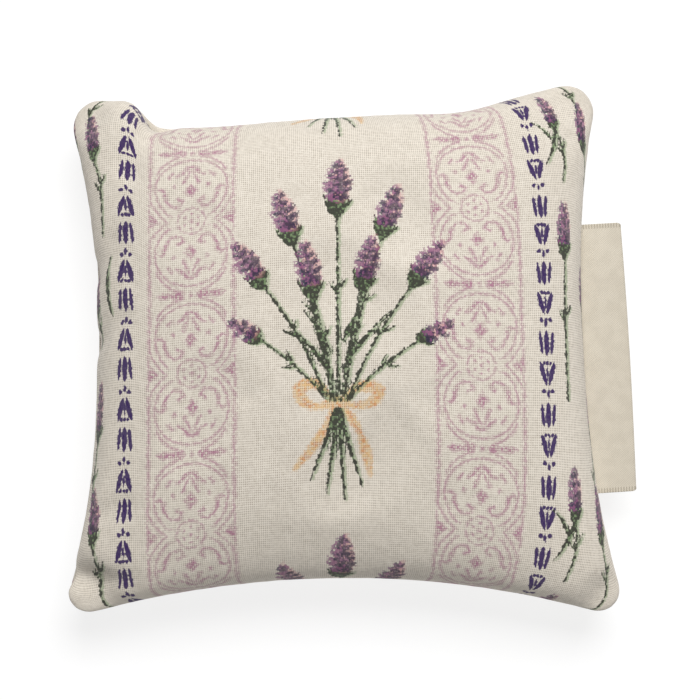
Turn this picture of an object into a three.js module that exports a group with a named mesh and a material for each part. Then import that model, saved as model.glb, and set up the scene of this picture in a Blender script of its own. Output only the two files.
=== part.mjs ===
// Lavender sachet: a small square pillow of printed cotton filled with dried buds, lying on its back.
// Millimetres, +Z up. The origin is the middle of the flat patch that the back rests on.
// +Y points to the top of the print and +X to the side that has the label.

import * as THREE from "three";
import { mergeVertices } from "three/addons/utils/BufferGeometryUtils.js";

// Outline of the seam, seen from above
const topWidth = 108.1; // between the two top corners
const topCornersOffset = -2.5; // how far the middle of the top corners lies to the side
const bottomWidth = 113.5; // between the two bottom corners
const leftHeight = 105.9; // between the two left corners
const leftCornersOffset = -2.1; // how far the middle of the left corners lies up or down
const rightHeight = 109.1; // between the two right corners
const rightCornersOffset = 0;
const topDraw = 6.8; // how far each side is drawn in between its corners
const topDrawPlaceShare = 0.06; // where along the top that is deepest, from -1 at the left to 1
const bottomDraw = 8.9;
const leftDraw = 7.2;
const rightDraw = 6.7;
const bowPower = 2.2; // 2 makes a side an even bow, more keeps it straighter in its middle
const cornerRadius = 9.3; // of the round ears at the corners
const notchDepth = 3.4; // how far the top side dips beside its left ear
const notchPlaceShare = -0.64; // where along the top that is deepest
const notchSteepShare = 0.057; // half width of the dip towards the ear, along the top
const notchGentleShare = 0.38; // half width of the dip away from the ear

// Crown of the two panels, above and below the seam
const frontRise = 20.4;
const backDrop = 15.8;
const frontFullness = 1.8; // how far the middle of a crown stays level: 1 makes a peak
const backFullness = 2.2;
const crownPower = 0.3; // 0.5 makes an even bow, and less swells out more steeply from the seam
const restCut = 0.5; // depth of the flat patch that the back rests on

// Cloth and seam
const clothThickness = 0.4;
const foldWidth = 1; // width of the fold where a panel turns in at the seam
const seamAllowance = 6; // width of the edge that is turned in
const seamGap = 0.3; // between the two turned-in edges
const clearance = 0.3; // between a piece and what it lies against

// Sewing threads
const threadDiameter = 0.3;
const stitchInset = 2.2; // from the edge to the row of stitches
const threadSides = 6;
const threadSteps = 80;
const openingLength = 40; // part of the bottom seam that is left open for filling
const closingStitch = 4; // length of one stitch of the closing seam
const closingSteps = 72;

// Label: a woven tape folded in half, its two cut ends caught in the right seam
const labelLength = 53.8; // along the seam, from one woven edge to the other
const labelShown = 8.9; // from the seam to the fold, in the middle of the label
const labelRoot = 4; // caught in the seam, there
const labelThickness = 0.3;
const labelGap = 0.2; // between its two layers
const labelMiddleY = -2.3;
const labelFoldSegments = 6;

// Fineness of the cloth meshes
const panelCells = 20;
const gapPower = 8; // how close to the edge the seam opens up for the label and the closing seam
const gapMargin = 5; // how far past a piece the seam stays open
const gapRamp = 5; // over what length it then closes

// Sizes worked out from those above
const halfSpan = (topWidth + bottomWidth + leftHeight + rightHeight) / 8;
const seamHeight = backDrop + seamGap / 2 - restCut;
const labelReach = labelShown + labelRoot;
const labelStack = 2 * labelThickness + labelGap;
const labelSeamGap = labelStack + 2 * clearance;
const closingSeamGap = threadDiameter + 2 * clearance;
const threadRadius = threadDiameter / 2;
const corners = {
  topLeft: [topCornersOffset - topWidth / 2, leftCornersOffset + leftHeight / 2],
  topRight: [topCornersOffset + topWidth / 2, rightCornersOffset + rightHeight / 2],
  bottomLeft: [-bottomWidth / 2, leftCornersOffset - leftHeight / 2],
  bottomRight: [bottomWidth / 2, rightCornersOffset - rightHeight / 2],
};

// Bow of a side, for s from -1 to 1: 0 at its two corners and 1 at its deepest place.
function bow(s, deepest) {
  const fromDeepest = (s - deepest) / (s < deepest ? 1 + deepest : 1 - deepest);
  return 1 - Math.abs(fromDeepest) ** bowPower;
}

// Moves u and v near a corner of the square onto its round.
function roundCorner(u, v) {
  const reach = cornerRadius / halfSpan;
  const [a, b] = [u, v].map((share) => Math.max(Math.abs(share) - 1 + reach, 0) / reach);
  return [
    u - Math.sign(u) * reach * a * (1 - Math.sqrt(1 - (b * b) / 2)),
    v - Math.sign(v) * reach * b * (1 - Math.sqrt(1 - (a * a) / 2)),
  ];
}

// How far the top side is drawn in: an even bow, and a dip beside the left ear.
function topBow(u, v) {
  const fromNotch = u - notchPlaceShare;
  const width = fromNotch < 0 ? notchSteepShare : notchGentleShare;
  const dip = Math.exp(-((fromNotch / width) ** 2)) * Math.max(v, 0) ** 2;
  return bow(u, topDrawPlaceShare) * topDraw + notchDepth * dip;
}

// Point of the plan for u and v from -1 to 1, moved in from the edge by inset.
function planPoint(u, v, inset) {
  const [s, t] = roundCorner(u, v);
  const [x, y] = [0, 1].map(
    (axis) =>
      ((1 - s) * (1 + t) * corners.topLeft[axis] +
        (1 + s) * (1 + t) * corners.topRight[axis] +
        (1 - s) * (1 - t) * corners.bottomLeft[axis] +
        (1 + s) * (1 - t) * corners.bottomRight[axis]) /
      4,
  );
  const sideBow = (bow(t, 0) * (leftDraw * (1 - s) - rightDraw * (1 + s))) / 2;
  const upBow = (bow(s, 0) * bottomDraw * (1 - t) - topBow(s, t) * (1 + t)) / 2;
  return [x + sideBow - u * inset, y + upBow - v * inset];
}

// Share of the crown's height at u and v: nothing along the seam and 1 in the middle.
function crownShare(u, v, fullness) {
  const across = 1 - Math.abs(u) ** fullness;
  const along = 1 - Math.abs(v) ** fullness;
  return Math.max(across * along, 0) ** crownPower;
}

// How far the seam is open, from 0 to 1, at a distance along it from the middle of a piece.
function openShare(distance, pieceLength) {
  const past = Math.abs(distance) - pieceLength / 2 - gapMargin;
  return 1 - THREE.MathUtils.smoothstep(past, 0, gapRamp);
}

// Half the gap between the panels: wider where the label and the closing thread lie in the seam.
function halfGap(u, v) {
  const [x, y] = planPoint(u, v, 0);
  const forLabel = Math.max(u, 0) ** gapPower * openShare(y - labelMiddleY, labelLength);
  const forClosing = Math.max(-v, 0) ** gapPower * openShare(x, openingLength);
  const wider = Math.max(
    (labelSeamGap - seamGap) * forLabel,
    (closingSeamGap - seamGap) * forClosing,
  );
  return (seamGap + wider) / 2;
}

// A crowned surface: inset from the seam, starting at a height above the seam's half gap.
// side is 1 for the front and -1 for the back; nothing reaches below the floor that is given.
function crownSurface(side, inset, start, rise, floor) {
  const fullness = side > 0 ? frontFullness : backFullness;
  return (u, v) => {
    const [x, y] = planPoint(u, v, inset);
    const height = halfGap(u, v) + start + rise * crownShare(u, v, fullness);
    return new THREE.Vector3(x, y, Math.max(seamHeight + side * height, floor));
  };
}

// A level ring of the seam: inset from the edge, at a height from the seam's half gap.
function seamRing(side, inset, start) {
  return (u, v) => {
    const [x, y] = planPoint(u, v, inset);
    return new THREE.Vector3(x, y, seamHeight + side * (halfGap(u, v) + start));
  };
}

// Steps from -1 to 1 that grow finer towards both ends, where the crown is steep.
function gridSteps(cells) {
  return Array.from({ length: cells + 1 }, (_, i) => Math.sin((Math.PI / 2) * ((2 * i) / cells - 1)));
}

// The edge of the square of u and v, once round, counterclockwise seen from above.
function edgeWalk(cells) {
  const steps = gridSteps(cells);
  const back = [...steps].reverse();
  return [
    ...steps.slice(0, -1).map((s) => [s, -1]),
    ...steps.slice(0, -1).map((s) => [1, s]),
    ...back.slice(0, -1).map((s) => [s, 1]),
    ...back.slice(0, -1).map((s) => [-1, s]),
  ];
}

// A closed solid: an upper surface, bands of faces from ring to ring down its edge, a lower surface.
function layeredSolid(upper, rings, lower, cells) {
  const steps = gridSteps(cells);
  const walk = edgeWalk(cells);
  const trianglePoints = [];
  const addQuad = (a, b, c, d) => trianglePoints.push(a, b, c, a, c, d);
  for (let i = 0; i < cells; i++) {
    for (let j = 0; j < cells; j++) {
      const [u0, u1, v0, v1] = [steps[i], steps[i + 1], steps[j], steps[j + 1]];
      addQuad(upper(u0, v0), upper(u1, v0), upper(u1, v1), upper(u0, v1));
      addQuad(lower(u0, v0), lower(u0, v1), lower(u1, v1), lower(u1, v0));
    }
  }
  const levels = [upper, ...rings, lower];
  for (let level = 0; level + 1 < levels.length; level++) {
    walk.forEach((here, i) => {
      const next = walk[(i + 1) % walk.length];
      addQuad(
        levels[level](...next),
        levels[level](...here),
        levels[level + 1](...here),
        levels[level + 1](...next),
      );
    });
  }
  const positions = new Float32Array(trianglePoints.flatMap((p) => [p.x, p.y, p.z]));
  const geometry = new THREE.BufferGeometry();
  geometry.setAttribute("position", new THREE.BufferAttribute(positions, 3));
  const merged = mergeVertices(geometry);
  merged.computeVertexNormals();
  return merged;
}

// Front panel: the crown, its seam allowance turned in below, and the inside of the cloth.
function frontPanel() {
  const innerRise = frontRise - 2 * clothThickness;
  return layeredSolid(
    crownSurface(1, 0, 0, frontRise, 0),
    [seamRing(1, seamAllowance, 0), seamRing(1, seamAllowance, clothThickness)],
    crownSurface(1, foldWidth, clothThickness, innerRise, 0),
    panelCells,
  );
}

// Back panel: the same below the seam, cut flat where it rests.
function backPanel() {
  const innerDrop = backDrop - 2 * clothThickness;
  return layeredSolid(
    crownSurface(-1, foldWidth, clothThickness, innerDrop, clothThickness),
    [seamRing(-1, seamAllowance, clothThickness), seamRing(-1, seamAllowance, 0)],
    crownSurface(-1, 0, 0, backDrop, 0),
    panelCells,
  );
}

// Dried buds: one mass that fills both crowns and has a groove round it for the turned-in edges.
function budFill() {
  const edgeInset = stitchInset + threadDiameter + clearance;
  const grooveInset = seamAllowance + clearance;
  const grooveHeight = clothThickness + clearance;
  const belowCrown = clothThickness + clearance + grooveHeight;
  const floor = clothThickness + clearance;
  return layeredSolid(
    crownSurface(1, edgeInset, grooveHeight, frontRise - belowCrown, floor),
    [seamRing(1, grooveInset, grooveHeight), seamRing(-1, grooveInset, grooveHeight)],
    crownSurface(-1, edgeInset, grooveHeight, backDrop - belowCrown, floor),
    panelCells,
  );
}

// A thread: a round tube along a smooth curve through the points.
function threadTube(points, steps) {
  const section = new THREE.Shape();
  for (let i = 0; i < threadSides; i++) {
    const angle = (2 * Math.PI * i) / threadSides;
    const corner = [threadRadius * Math.cos(angle), threadRadius * Math.sin(angle)];
    if (i === 0) section.moveTo(...corner);
    else section.lineTo(...corner);
  }
  const extrudePath = new THREE.CatmullRomCurve3(points);
  return new THREE.ExtrudeGeometry(section, { steps, extrudePath });
}

// The row of machine stitches on one side: once round the pillow, from one end of the filling
// opening to the other, on the turned-in edge of the panel.
function stitchRow(side) {
  const onCloth = clothThickness + clearance + threadRadius;
  const ring = seamRing(side, stitchInset, onCloth);
  const points = edgeWalk(panelCells)
    .map(([u, v]) => ({ u, v, point: ring(u, v) }))
    .filter(({ v, point }) => v > -1 || Math.abs(point.x) > openingLength / 2)
    .map(({ point }) => point);
  const start = points.findIndex((p) => p.y < 0 && p.x > 0);
  return threadTube([...points.slice(start), ...points.slice(0, start)], threadSteps);
}

// The closing seam: a ladder of small stitches between the two folded edges of the opening.
function closingRow() {
  const count = Math.round((openingLength + closingStitch) / closingStitch);
  const points = Array.from({ length: 2 * count }, (_, i) => {
    const x = closingStitch * (Math.floor(i / 2) - (count - 1) / 2);
    const inset = stitchInset + (Math.floor((i + 1) / 2) % 2 === 0 ? foldWidth / 2 : -foldWidth / 2);
    const u = x / (bottomWidth / 2);
    return new THREE.Vector3(x, planPoint(u, -1, inset)[1], seamHeight);
  });
  return threadTube(points, closingSteps);
}

// Point of the right seam at about a height y of the plan.
function rightSeamPoint(y) {
  return planPoint(1, y / (rightHeight / 2), 0);
}

// The label's section, seen along the seam: two layers joined by a round fold.
function labelTape() {
  const outerRadius = labelStack / 2;
  const innerRadius = labelGap / 2;
  const foldCentre = -outerRadius;
  const section = new THREE.Shape();
  section.moveTo(-labelReach, -outerRadius);
  section.lineTo(foldCentre, -outerRadius);
  section.absarc(foldCentre, 0, outerRadius, -Math.PI / 2, Math.PI / 2, false);
  section.lineTo(-labelReach, outerRadius);
  section.lineTo(-labelReach, innerRadius);
  section.lineTo(foldCentre, innerRadius);
  section.absarc(foldCentre, 0, innerRadius, Math.PI / 2, -Math.PI / 2, true);
  section.lineTo(-labelReach, -innerRadius);
  section.closePath();
  const geometry = new THREE.ExtrudeGeometry(section, {
    depth: labelLength,
    bevelEnabled: false,
    curveSegments: labelFoldSegments,
  });
  geometry.translate(0, 0, -labelLength / 2);
  geometry.rotateX(Math.PI / 2);
  return geometry;
}

const printedCotton = { color: "#d5cdc0", roughness: 0.9, metalness: 0 };
const cottonThread = { color: "#d8d2c6", roughness: 0.7, metalness: 0 };
const wovenTape = { color: "#d3cabb", roughness: 0.6, metalness: 0 };
const driedBuds = { color: "#6d6486", roughness: 1, metalness: 0 };

const sachet = new THREE.Group();

function addPiece(name, geometry, finish) {
  const mesh = new THREE.Mesh(geometry, new THREE.MeshStandardMaterial(finish));
  mesh.name = name;
  sachet.add(mesh);
  return mesh;
}

addPiece("front_panel", frontPanel(), printedCotton);
addPiece("back_panel", backPanel(), printedCotton);
addPiece("bud_fill", budFill(), driedBuds);
addPiece("needle_thread", stitchRow(1), cottonThread);
addPiece("bobbin_thread", stitchRow(-1), cottonThread);
addPiece("closing_thread", closingRow(), cottonThread);
const label = addPiece("label", labelTape(), wovenTape);
const [labelSeamX] = rightSeamPoint(labelMiddleY);
const [labelTopX, labelTopY] = rightSeamPoint(labelMiddleY + labelLength / 2);
const [labelBottomX, labelBottomY] = rightSeamPoint(labelMiddleY - labelLength / 2);
label.position.set(labelSeamX + labelShown, labelMiddleY, seamHeight);
label.rotation.z = Math.atan2(labelBottomX - labelTopX, labelTopY - labelBottomY);

export default sachet;
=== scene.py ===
"""Lavender sachet: a small pillow of printed cotton filled with dried buds, with a bare tape label."""

import math
from functools import reduce

import bmesh
import bpy
import numpy as np
from bpy.props import FloatProperty, FloatVectorProperty, IntProperty, PointerProperty
from mathutils import Matrix, Vector, noise


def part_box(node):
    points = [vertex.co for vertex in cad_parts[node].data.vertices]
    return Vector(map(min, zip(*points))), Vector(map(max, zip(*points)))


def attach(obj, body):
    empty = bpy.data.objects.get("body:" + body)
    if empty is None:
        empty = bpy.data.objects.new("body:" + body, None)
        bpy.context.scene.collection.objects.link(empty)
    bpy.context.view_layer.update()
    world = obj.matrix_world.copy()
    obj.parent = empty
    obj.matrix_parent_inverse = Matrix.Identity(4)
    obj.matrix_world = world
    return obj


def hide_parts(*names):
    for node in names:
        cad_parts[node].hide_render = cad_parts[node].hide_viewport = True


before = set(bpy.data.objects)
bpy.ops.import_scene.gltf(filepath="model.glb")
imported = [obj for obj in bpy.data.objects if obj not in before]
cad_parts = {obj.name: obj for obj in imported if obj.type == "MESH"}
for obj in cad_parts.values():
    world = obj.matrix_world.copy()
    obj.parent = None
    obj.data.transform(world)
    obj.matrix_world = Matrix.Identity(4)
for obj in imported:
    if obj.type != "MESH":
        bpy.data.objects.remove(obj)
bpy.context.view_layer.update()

bl_info = {
    "name": "Lavender sachet",
    "version": (1, 0, 0),
    "blender": (4, 5, 0),
    "location": "3D View > Sidebar > Sachet",
    "description": "Sews, fills and prints a lavender sachet around its packed solids",
    "category": "Object",
}

NEEDLE_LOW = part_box("needle_thread")[0].z
BOBBIN_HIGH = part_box("bobbin_thread")[1].z
SEAM_HEIGHT = (NEEDLE_LOW + BOBBIN_HIGH) / 2
MM = 0.001


def linear(red, green, blue):
    """Scene colour of a shade that is given as it shows on a screen, from 0 to 255."""
    shares = [channel / 255 for channel in (red, green, blue)]
    return tuple(s / 12.92 if s <= 0.04045 else ((s + 0.055) / 1.055) ** 2.4 for s in shares)


def size(name, default, description):
    """A length property in metres."""
    return FloatProperty(name=name, description=description, default=default, unit="LENGTH", precision=5)


def number(name, default, description):
    """A property without a unit."""
    return FloatProperty(name=name, description=description, default=default, precision=3)


def count(name, default, description):
    """A whole number property."""
    return IntProperty(name=name, description=description, default=default, min=1)


def shade(name, screen_shade, description):
    """A colour property, given as the shade that shows on a screen."""
    return FloatVectorProperty(
        name=name,
        description=description,
        default=linear(*screen_shade),
        subtype="COLOR",
        size=3,
        min=0,
        max=1,
    )


class SachetPillow(bpy.types.PropertyGroup):
    """Sizes of the sewn and filled pillow."""

    top_width: size("Top width", 0.1081, "Distance between the two top corners")
    top_offset: size("Top offset", -0.0025, "How far the middle of the top corners lies to the side")
    bottom_width: size("Bottom width", 0.1145, "Distance between the two bottom corners")
    bottom_offset: size("Bottom offset", -0.0001, "How far the middle of the bottom corners lies to the side")
    left_height: size("Left height", 0.1056, "Distance between the two left corners")
    left_offset: size("Left offset", -0.00195, "How far the middle of the left corners lies up")
    right_height: size("Right height", 0.1091, "Distance between the two right corners")
    right_offset: size("Right offset", 0.0, "How far the middle of the right corners lies up")
    top_draw: size("Top draw", 0.0068, "How far the top side is drawn in")
    top_draw_share: number("Top draw place", 0.06, "Where along the top it is drawn in most, -1 to 1")
    bottom_draw: size("Bottom draw", 0.0089, "How far the bottom side is drawn in")
    left_draw: size("Left draw", 0.0078, "How far the left side is drawn in")
    right_draw: size("Right draw", 0.0069, "How far the right side is drawn in")
    bow_power: number("Bow power", 2.2, "2 bows the top and bottom evenly, more keeps them straighter")
    side_bow_power: number("Side bow power", 2.7, "The same for the left and right sides")
    top_radius: size("Top radius", 0.0107, "Radius of the round ears at the top corners")
    bottom_radius: size("Bottom radius", 0.0093, "Radius of the round ears at the bottom corners")
    notch: size("Notch", 0.0034, "How far the top side dips beside its left ear")
    notch_share: number("Notch place", -0.64, "Where along the top the notch is deepest, -1 to 1")
    notch_steep: number("Notch steep side", 0.057, "Half width of the notch towards the ear, as a share")
    notch_gentle: number("Notch gentle side", 0.38, "Half width of the notch away from the ear, as a share")
    dip: size("Dip", 0.0011, "How far the top side dips towards its right ear")
    dip_share: number("Dip place", 0.48, "Where along the top the dip is deepest, -1 to 1")
    dip_reach: number("Dip reach", 0.17, "Half width of the dip, as a share")
    rise: size("Front rise", 0.0204, "Height of the front panel's crown above the seam")
    drop: size("Back drop", 0.0166, "Depth of the back panel's crown below the seam, before it rests")
    fullness: number("Fullness", 2.4, "The section is an ellipse at 2 and boxier above it")
    cloth: size("Cloth thickness", 0.0004, "Thickness of the cotton")
    fold: size("Fold height", 0.001, "Height of the fold where a panel turns in at the seam")
    allowance: size("Seam allowance", 0.006, "Width of the edge that is turned in")
    seam_gap: size("Seam gap", 0.0003, "Gap between the two turned-in edges")
    cells: count("Cells", 68, "Cells along each side of a panel")
    unevenness: number("Unevenness", 0.05, "How much the filling's height strays before the cloth settles")
    slack: number("Slack", 0.012, "How much larger than the plain crowned form the cloth is, as a share")
    volume_share: number("Filling", 1.02, "Filled volume as a share of the plain crowned form")
    pressure: number("Pressure", 30, "How hard the filling presses the cloth outwards")
    frames: count("Frames", 24, "Frames of cloth simulation")


class SachetPrint(bpy.types.PropertyGroup):
    """Colours of the cotton and of the inks printed on it."""

    natural: shade("Natural cotton", (226, 218, 205), "Unprinted cotton")
    # The weave gap colour is painted shade, darkening the cotton in the hollows between its threads
    gap: shade("Weave gap", (140, 127, 112), "Shade in the gaps between threads")
    lilac: shade("Lilac", (198, 144, 182), "Ink of the ornament bands, which darkens the cotton")
    indigo: shade("Indigo", (46, 14, 84), "Ink of the bud stripes")
    orchid: shade("Orchid", (136, 80, 120), "Light ink of the spikes")
    violet: shade("Violet", (80, 48, 92), "Main ink of the spikes")
    dusk: shade("Dusk", (36, 28, 60), "Dark ink in the spikes")
    blush: shade("Blush", (206, 142, 146), "Pale ink at the edges of the spikes")
    moss: shade("Moss", (40, 42, 32), "Dark ink of the stems")
    leaf: shade("Leaf", (126, 150, 106), "Pale ink of the stems and leaves")
    peach: shade("Peach", (252, 216, 158), "Ink of the ribbon")
    amber: shade("Amber", (238, 170, 108), "Darker touches on the ribbon")


class SachetLabel(bpy.types.PropertyGroup):
    """Sizes and colours of the folded tape label."""

    length: size("Length", 0.0538, "Along the seam, between the woven edges")
    shown: size("Shown", 0.0093, "From the seam to the fold")
    root: size("Root", 0.004, "Caught in the seam")
    thickness: size("Thickness", 0.0003, "Thickness of the tape")
    layer_gap: size("Layer gap", 0.0002, "Between the two layers of the folded tape")
    middle: size("Middle", -0.0023, "Height of the label's middle on the pillow")
    rib_pitch: size("Rib pitch", 0.00056, "From one rib of the woven edge to the next")
    rib_width: size("Rib width", 0.001, "Width of the ribbed edge")
    tape: shade("Tape", (211, 202, 185), "Woven satin tape")
    tape_shadow: shade("Tape shadow", (146, 136, 118), "Shade between the tape's ribs and lines")


class SachetInside(bpy.types.PropertyGroup):
    """Sizes and colours of the filling and the sewing threads."""

    buds: count("Buds", 1500, "Dried buds on the outside of the filling")
    bud_length: size("Bud length", 0.0044, "Length of a dried bud")
    bud_width: size("Bud width", 0.0017, "Width of a dried bud")
    seed: count("Seed", 7, "Start of the buds' random places")
    thread: size("Thread", 0.0003, "Diameter of the sewing thread")
    stitch_inset: size("Stitch inset", 0.0022, "From the edge to the row of stitches")
    stitch: size("Stitch", 0.0025, "Length of a machine stitch")
    opening: size("Opening", 0.04, "Part of the bottom seam left open for filling")
    closing_stitch: size("Closing stitch", 0.004, "Length of a stitch of the closing seam")
    margin: size("Margin", 0.0026, "From the cloth to the middle of the outer buds")
    bud: shade("Bud", (108, 96, 128), "Dried calyx")
    bud_dark: shade("Dark bud", (64, 56, 74), "Furrows and darker buds")
    straw: shade("Straw", (150, 138, 106), "Bits of stalk among the buds")
    cotton: shade("Cotton thread", (216, 208, 192), "Sewing thread")


class SachetStage(bpy.types.PropertyGroup):
    """Camera, floor and lights."""

    view_width: size("View width", 0.14, "Width that the camera sees at the seam")
    view_x: size("View centre X", 0.0011, "Where the camera looks")
    view_y: size("View centre Y", -0.0004, "Where the camera looks")
    distance: size("Camera distance", 0.75, "From the seam up to the camera")
    floor: shade("Floor", (128, 128, 128), "Floor")
    glow: number("Floor glow", 0.8, "Strength of the light that shines through the pale floor")
    key: FloatProperty(
        name="Key light",
        description="Strength of the large light",
        default=13.5,
        unit="POWER",
    )
    fill: number("Fill light", 0.16, "Strength of the light from all round")


class Wire:
    """A node socket on which Python's operators add Math nodes."""

    def __init__(self, nodes, socket):
        self.nodes = nodes
        self.socket = socket

    def maths(self, operation, *others):
        """A Math node that takes this value first."""
        return self.nodes.maths(operation, self, *others)

    def __add__(self, other):
        return self.maths("ADD", other)

    def __radd__(self, other):
        return self.nodes.maths("ADD", other, self)

    def __sub__(self, other):
        return self.maths("SUBTRACT", other)

    def __rsub__(self, other):
        return self.nodes.maths("SUBTRACT", other, self)

    def __mul__(self, other):
        return self.maths("MULTIPLY", other)

    def __rmul__(self, other):
        return self.nodes.maths("MULTIPLY", other, self)

    def __truediv__(self, other):
        return self.maths("DIVIDE", other)

    def __rtruediv__(self, other):
        return self.nodes.maths("DIVIDE", other, self)

    def __pow__(self, other):
        return self.maths("POWER", other)

    def __abs__(self):
        return self.maths("ABSOLUTE")


class Nodes:
    """The node tree of one material or world."""

    def __init__(self, owner):
        owner.use_nodes = True
        self.tree = owner.node_tree
        self.tree.nodes.clear()

    def make(self, kind, settings=None, inputs=None, output=0):
        """Adds a node: its settings first, then the values or wires of its sockets."""
        node = self.tree.nodes.new(kind)
        for name, value in (settings or {}).items():
            setattr(node, name, value)
        for name, value in (inputs or {}).items():
            socket = node.inputs[name]
            if isinstance(value, Wire):
                self.tree.links.new(value.socket, socket)
            elif socket.type == "RGBA":
                socket.default_value = (*value, 1)
            else:
                socket.default_value = value
        return Wire(self, node.outputs[output]) if node.outputs else None

    def maths(self, operation, *values):
        return self.make("ShaderNodeMath", {"operation": operation}, dict(enumerate(values)))

    def vector_maths(self, operation, inputs, output=0):
        return self.make("ShaderNodeVectorMath", {"operation": operation}, inputs, output)

    def vector(self, x, y):
        return self.make("ShaderNodeCombineXYZ", None, {0: x, 1: y})

    def map(self, name):
        """The two values of a map."""
        place = self.make("ShaderNodeUVMap", {"uv_map": name})
        split = self.make("ShaderNodeSeparateXYZ", None, {0: place}).socket.node
        return Wire(self, split.outputs[0]), Wire(self, split.outputs[1])

    def place(self):
        return self.make("ShaderNodeTexCoord", None, None, "Object")

    def layer(self, name):
        """A value stored on the piece's points."""
        return self.make("ShaderNodeAttribute", {"attribute_name": name}, None, "Fac")

    def noise(self, vector, scale, detail=2.0, flat=True):
        settings = {"noise_dimensions": "2D" if flat else "3D"}
        inputs = {"Vector": vector, "Scale": scale, "Detail": detail}
        return self.make("ShaderNodeTexNoise", settings, inputs)

    def random(self, x, y):
        """A random value from 0 to 1 for each pair of whole numbers."""
        return self.make("ShaderNodeTexWhiteNoise", {"noise_dimensions": "2D"}, {0: self.vector(x, y)})

    def ramp(self, value, low, high, at_low=0.0, at_high=1.0):
        """A smooth step from at_low to at_high as value goes from low to high."""
        inputs = {0: value, 1: low, 2: high, 3: at_low, 4: at_high}
        return self.make("ShaderNodeMapRange", {"interpolation_type": "SMOOTHSTEP"}, inputs)

    def mix(self, share, first, second, blend="MIX"):
        """A colour between two colours."""
        settings = {"data_type": "RGBA", "blend_type": blend}
        return self.make("ShaderNodeMix", settings, {0: share, 6: first, 7: second}, 2)

    def finish(self, colour, roughness, height=None, relief=0.0, strength=1.0, **extra):
        """The surface shader, with a bump from height."""
        inputs = {"Base Color": colour, "Roughness": roughness, **extra}
        if height is not None:
            bump = {"Height": height, "Distance": relief, "Strength": strength}
            inputs["Normal"] = self.make("ShaderNodeBump", None, bump)
        surface = self.make("ShaderNodeBsdfPrincipled", None, inputs)
        self.make("ShaderNodeOutputMaterial", None, {"Surface": surface})


def least(*wires):
    """The smallest of several values."""
    return reduce(lambda first, second: first.maths("MINIMUM", second), wires)


def most(*wires):
    """The largest of several values."""
    return reduce(lambda first, second: first.maths("MAXIMUM", second), wires)


def radius_at(x, y):
    """How far away a place is that lies x across and y up."""
    return (x * x + y * y) ** 0.5


def sine_wave(turn):
    """A sine wave from 0 to 1, once for each whole turn."""
    return (turn * (2 * math.pi)).maths("SINE") * 0.5 + 0.5


def plain_material(name):
    """A new material and its nodes."""
    material = bpy.data.materials.new(name)
    return material, Nodes(material)


# Print: places on the cloth are in millimetres from the middle of the front panel

PRINT_REPEAT_X = 104.0
PRINT_REPEAT_Y = 74.8
BUNCH_TIE = (0.2, -10.4)
SPRIG_CENTRE = 52.0
BACK_SHIFT = (31.0, -13.0)

# How far the filled pillow pulls the front's print, in millimetres: the whole of it to the side, more
# at the top, outwards near the top and bottom and more so on the right, and outwards at the corners;
# then up near the top and bottom, at the top, near the sides and on the right
PULL_ASIDE = 0.9
PULL_LEAN = -0.6
PULL_FAN = 9.0
PULL_FAN_RIGHT = 9.0
PULL_CORNERS = 7.0
PULL_MOST = 12.0
PULL_UP_ENDS = 3.4
PULL_UP_TOP = 1.6
PULL_UP_SIDES = 1.2
PULL_UP_RIGHT = 0.3


def print_pull(u, v):
    """How far the print is pulled to the side and up at places u and v of the front panel."""
    fan = (PULL_FAN + PULL_FAN_RIGHT * u) * u * v ** 4 + PULL_CORNERS * u ** 3 * v ** 2
    aside = PULL_MOST * np.tanh((PULL_ASIDE + PULL_LEAN * v + fan) / PULL_MOST)
    up = PULL_UP_ENDS * v ** 2 + PULL_UP_TOP * v ** 3 + PULL_UP_SIDES * u ** 2 + PULL_UP_RIGHT * u
    return aside, up



# Weave: the threads' spacing, how far they sway in threads, how plump and how uneven they are
THREAD_X = 0.395
THREAD_Y = 0.45
SWAY = 1.6
SWAY_ALONG = 0.8
SWAY_SCALE = 0.07
PLUMP = 0.55
THREAD_TOP = 0.56
THREAD_DIP = 0.44
SLUB_WARP = (3.7, 0.3)
SLUB_WEFT = (5.3, 0.26)


def weave(nodes, x, y):
    """Height of the plain weave, how far each thread's shade strays, and a value for each crossing."""
    sway = (nodes.noise(nodes.vector(x, y), SWAY_SCALE, 1.0) - 0.5) * SWAY
    across = x / THREAD_X + sway
    along = y / THREAD_Y + sway * SWAY_ALONG
    warp_number = across.maths("FLOOR")
    weft_number = along.maths("FLOOR")
    warp_wave = (across * math.pi).maths("SINE")
    weft_wave = (along * math.pi).maths("SINE")
    warp = abs(warp_wave) ** PLUMP * (THREAD_TOP + THREAD_DIP * warp_wave.maths("SIGN") * weft_wave)
    weft = abs(weft_wave) ** PLUMP * (THREAD_TOP - THREAD_DIP * weft_wave.maths("SIGN") * warp_wave)
    slub_x = nodes.noise(nodes.vector(warp_number * SLUB_WARP[0], y * SLUB_WARP[1]), 1.0, 1.0)
    slub_y = nodes.noise(nodes.vector(x * SLUB_WEFT[1], weft_number * SLUB_WEFT[0]), 1.0, 1.0)
    return most(warp, weft), slub_x + slub_y - 1.0, nodes.random(warp_number, weft_number)


def painted(nodes, place, points, halves):
    """Distance to a brush stroke in the material: points from end to end, with its half width at each."""
    gaps = []
    for start, end, half, end_half in zip(points, points[1:], halves, halves[1:]):
        line = Vector((*end, 0)) - Vector((*start, 0))
        from_start = nodes.vector_maths("SUBTRACT", {0: place, 1: (*start, 0)})
        share = nodes.vector_maths("DOT_PRODUCT", {0: from_start, 1: line / line.length_squared}, "Value")
        share = nodes.make("ShaderNodeClamp", None, {"Value": share})
        foot = nodes.vector_maths("SCALE", {0: line, "Scale": share})
        away = nodes.vector_maths("DISTANCE", {0: from_start, 1: foot}, "Value")
        gaps.append(away - (share * (end_half - half) + half))
    return least(*gaps)


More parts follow.
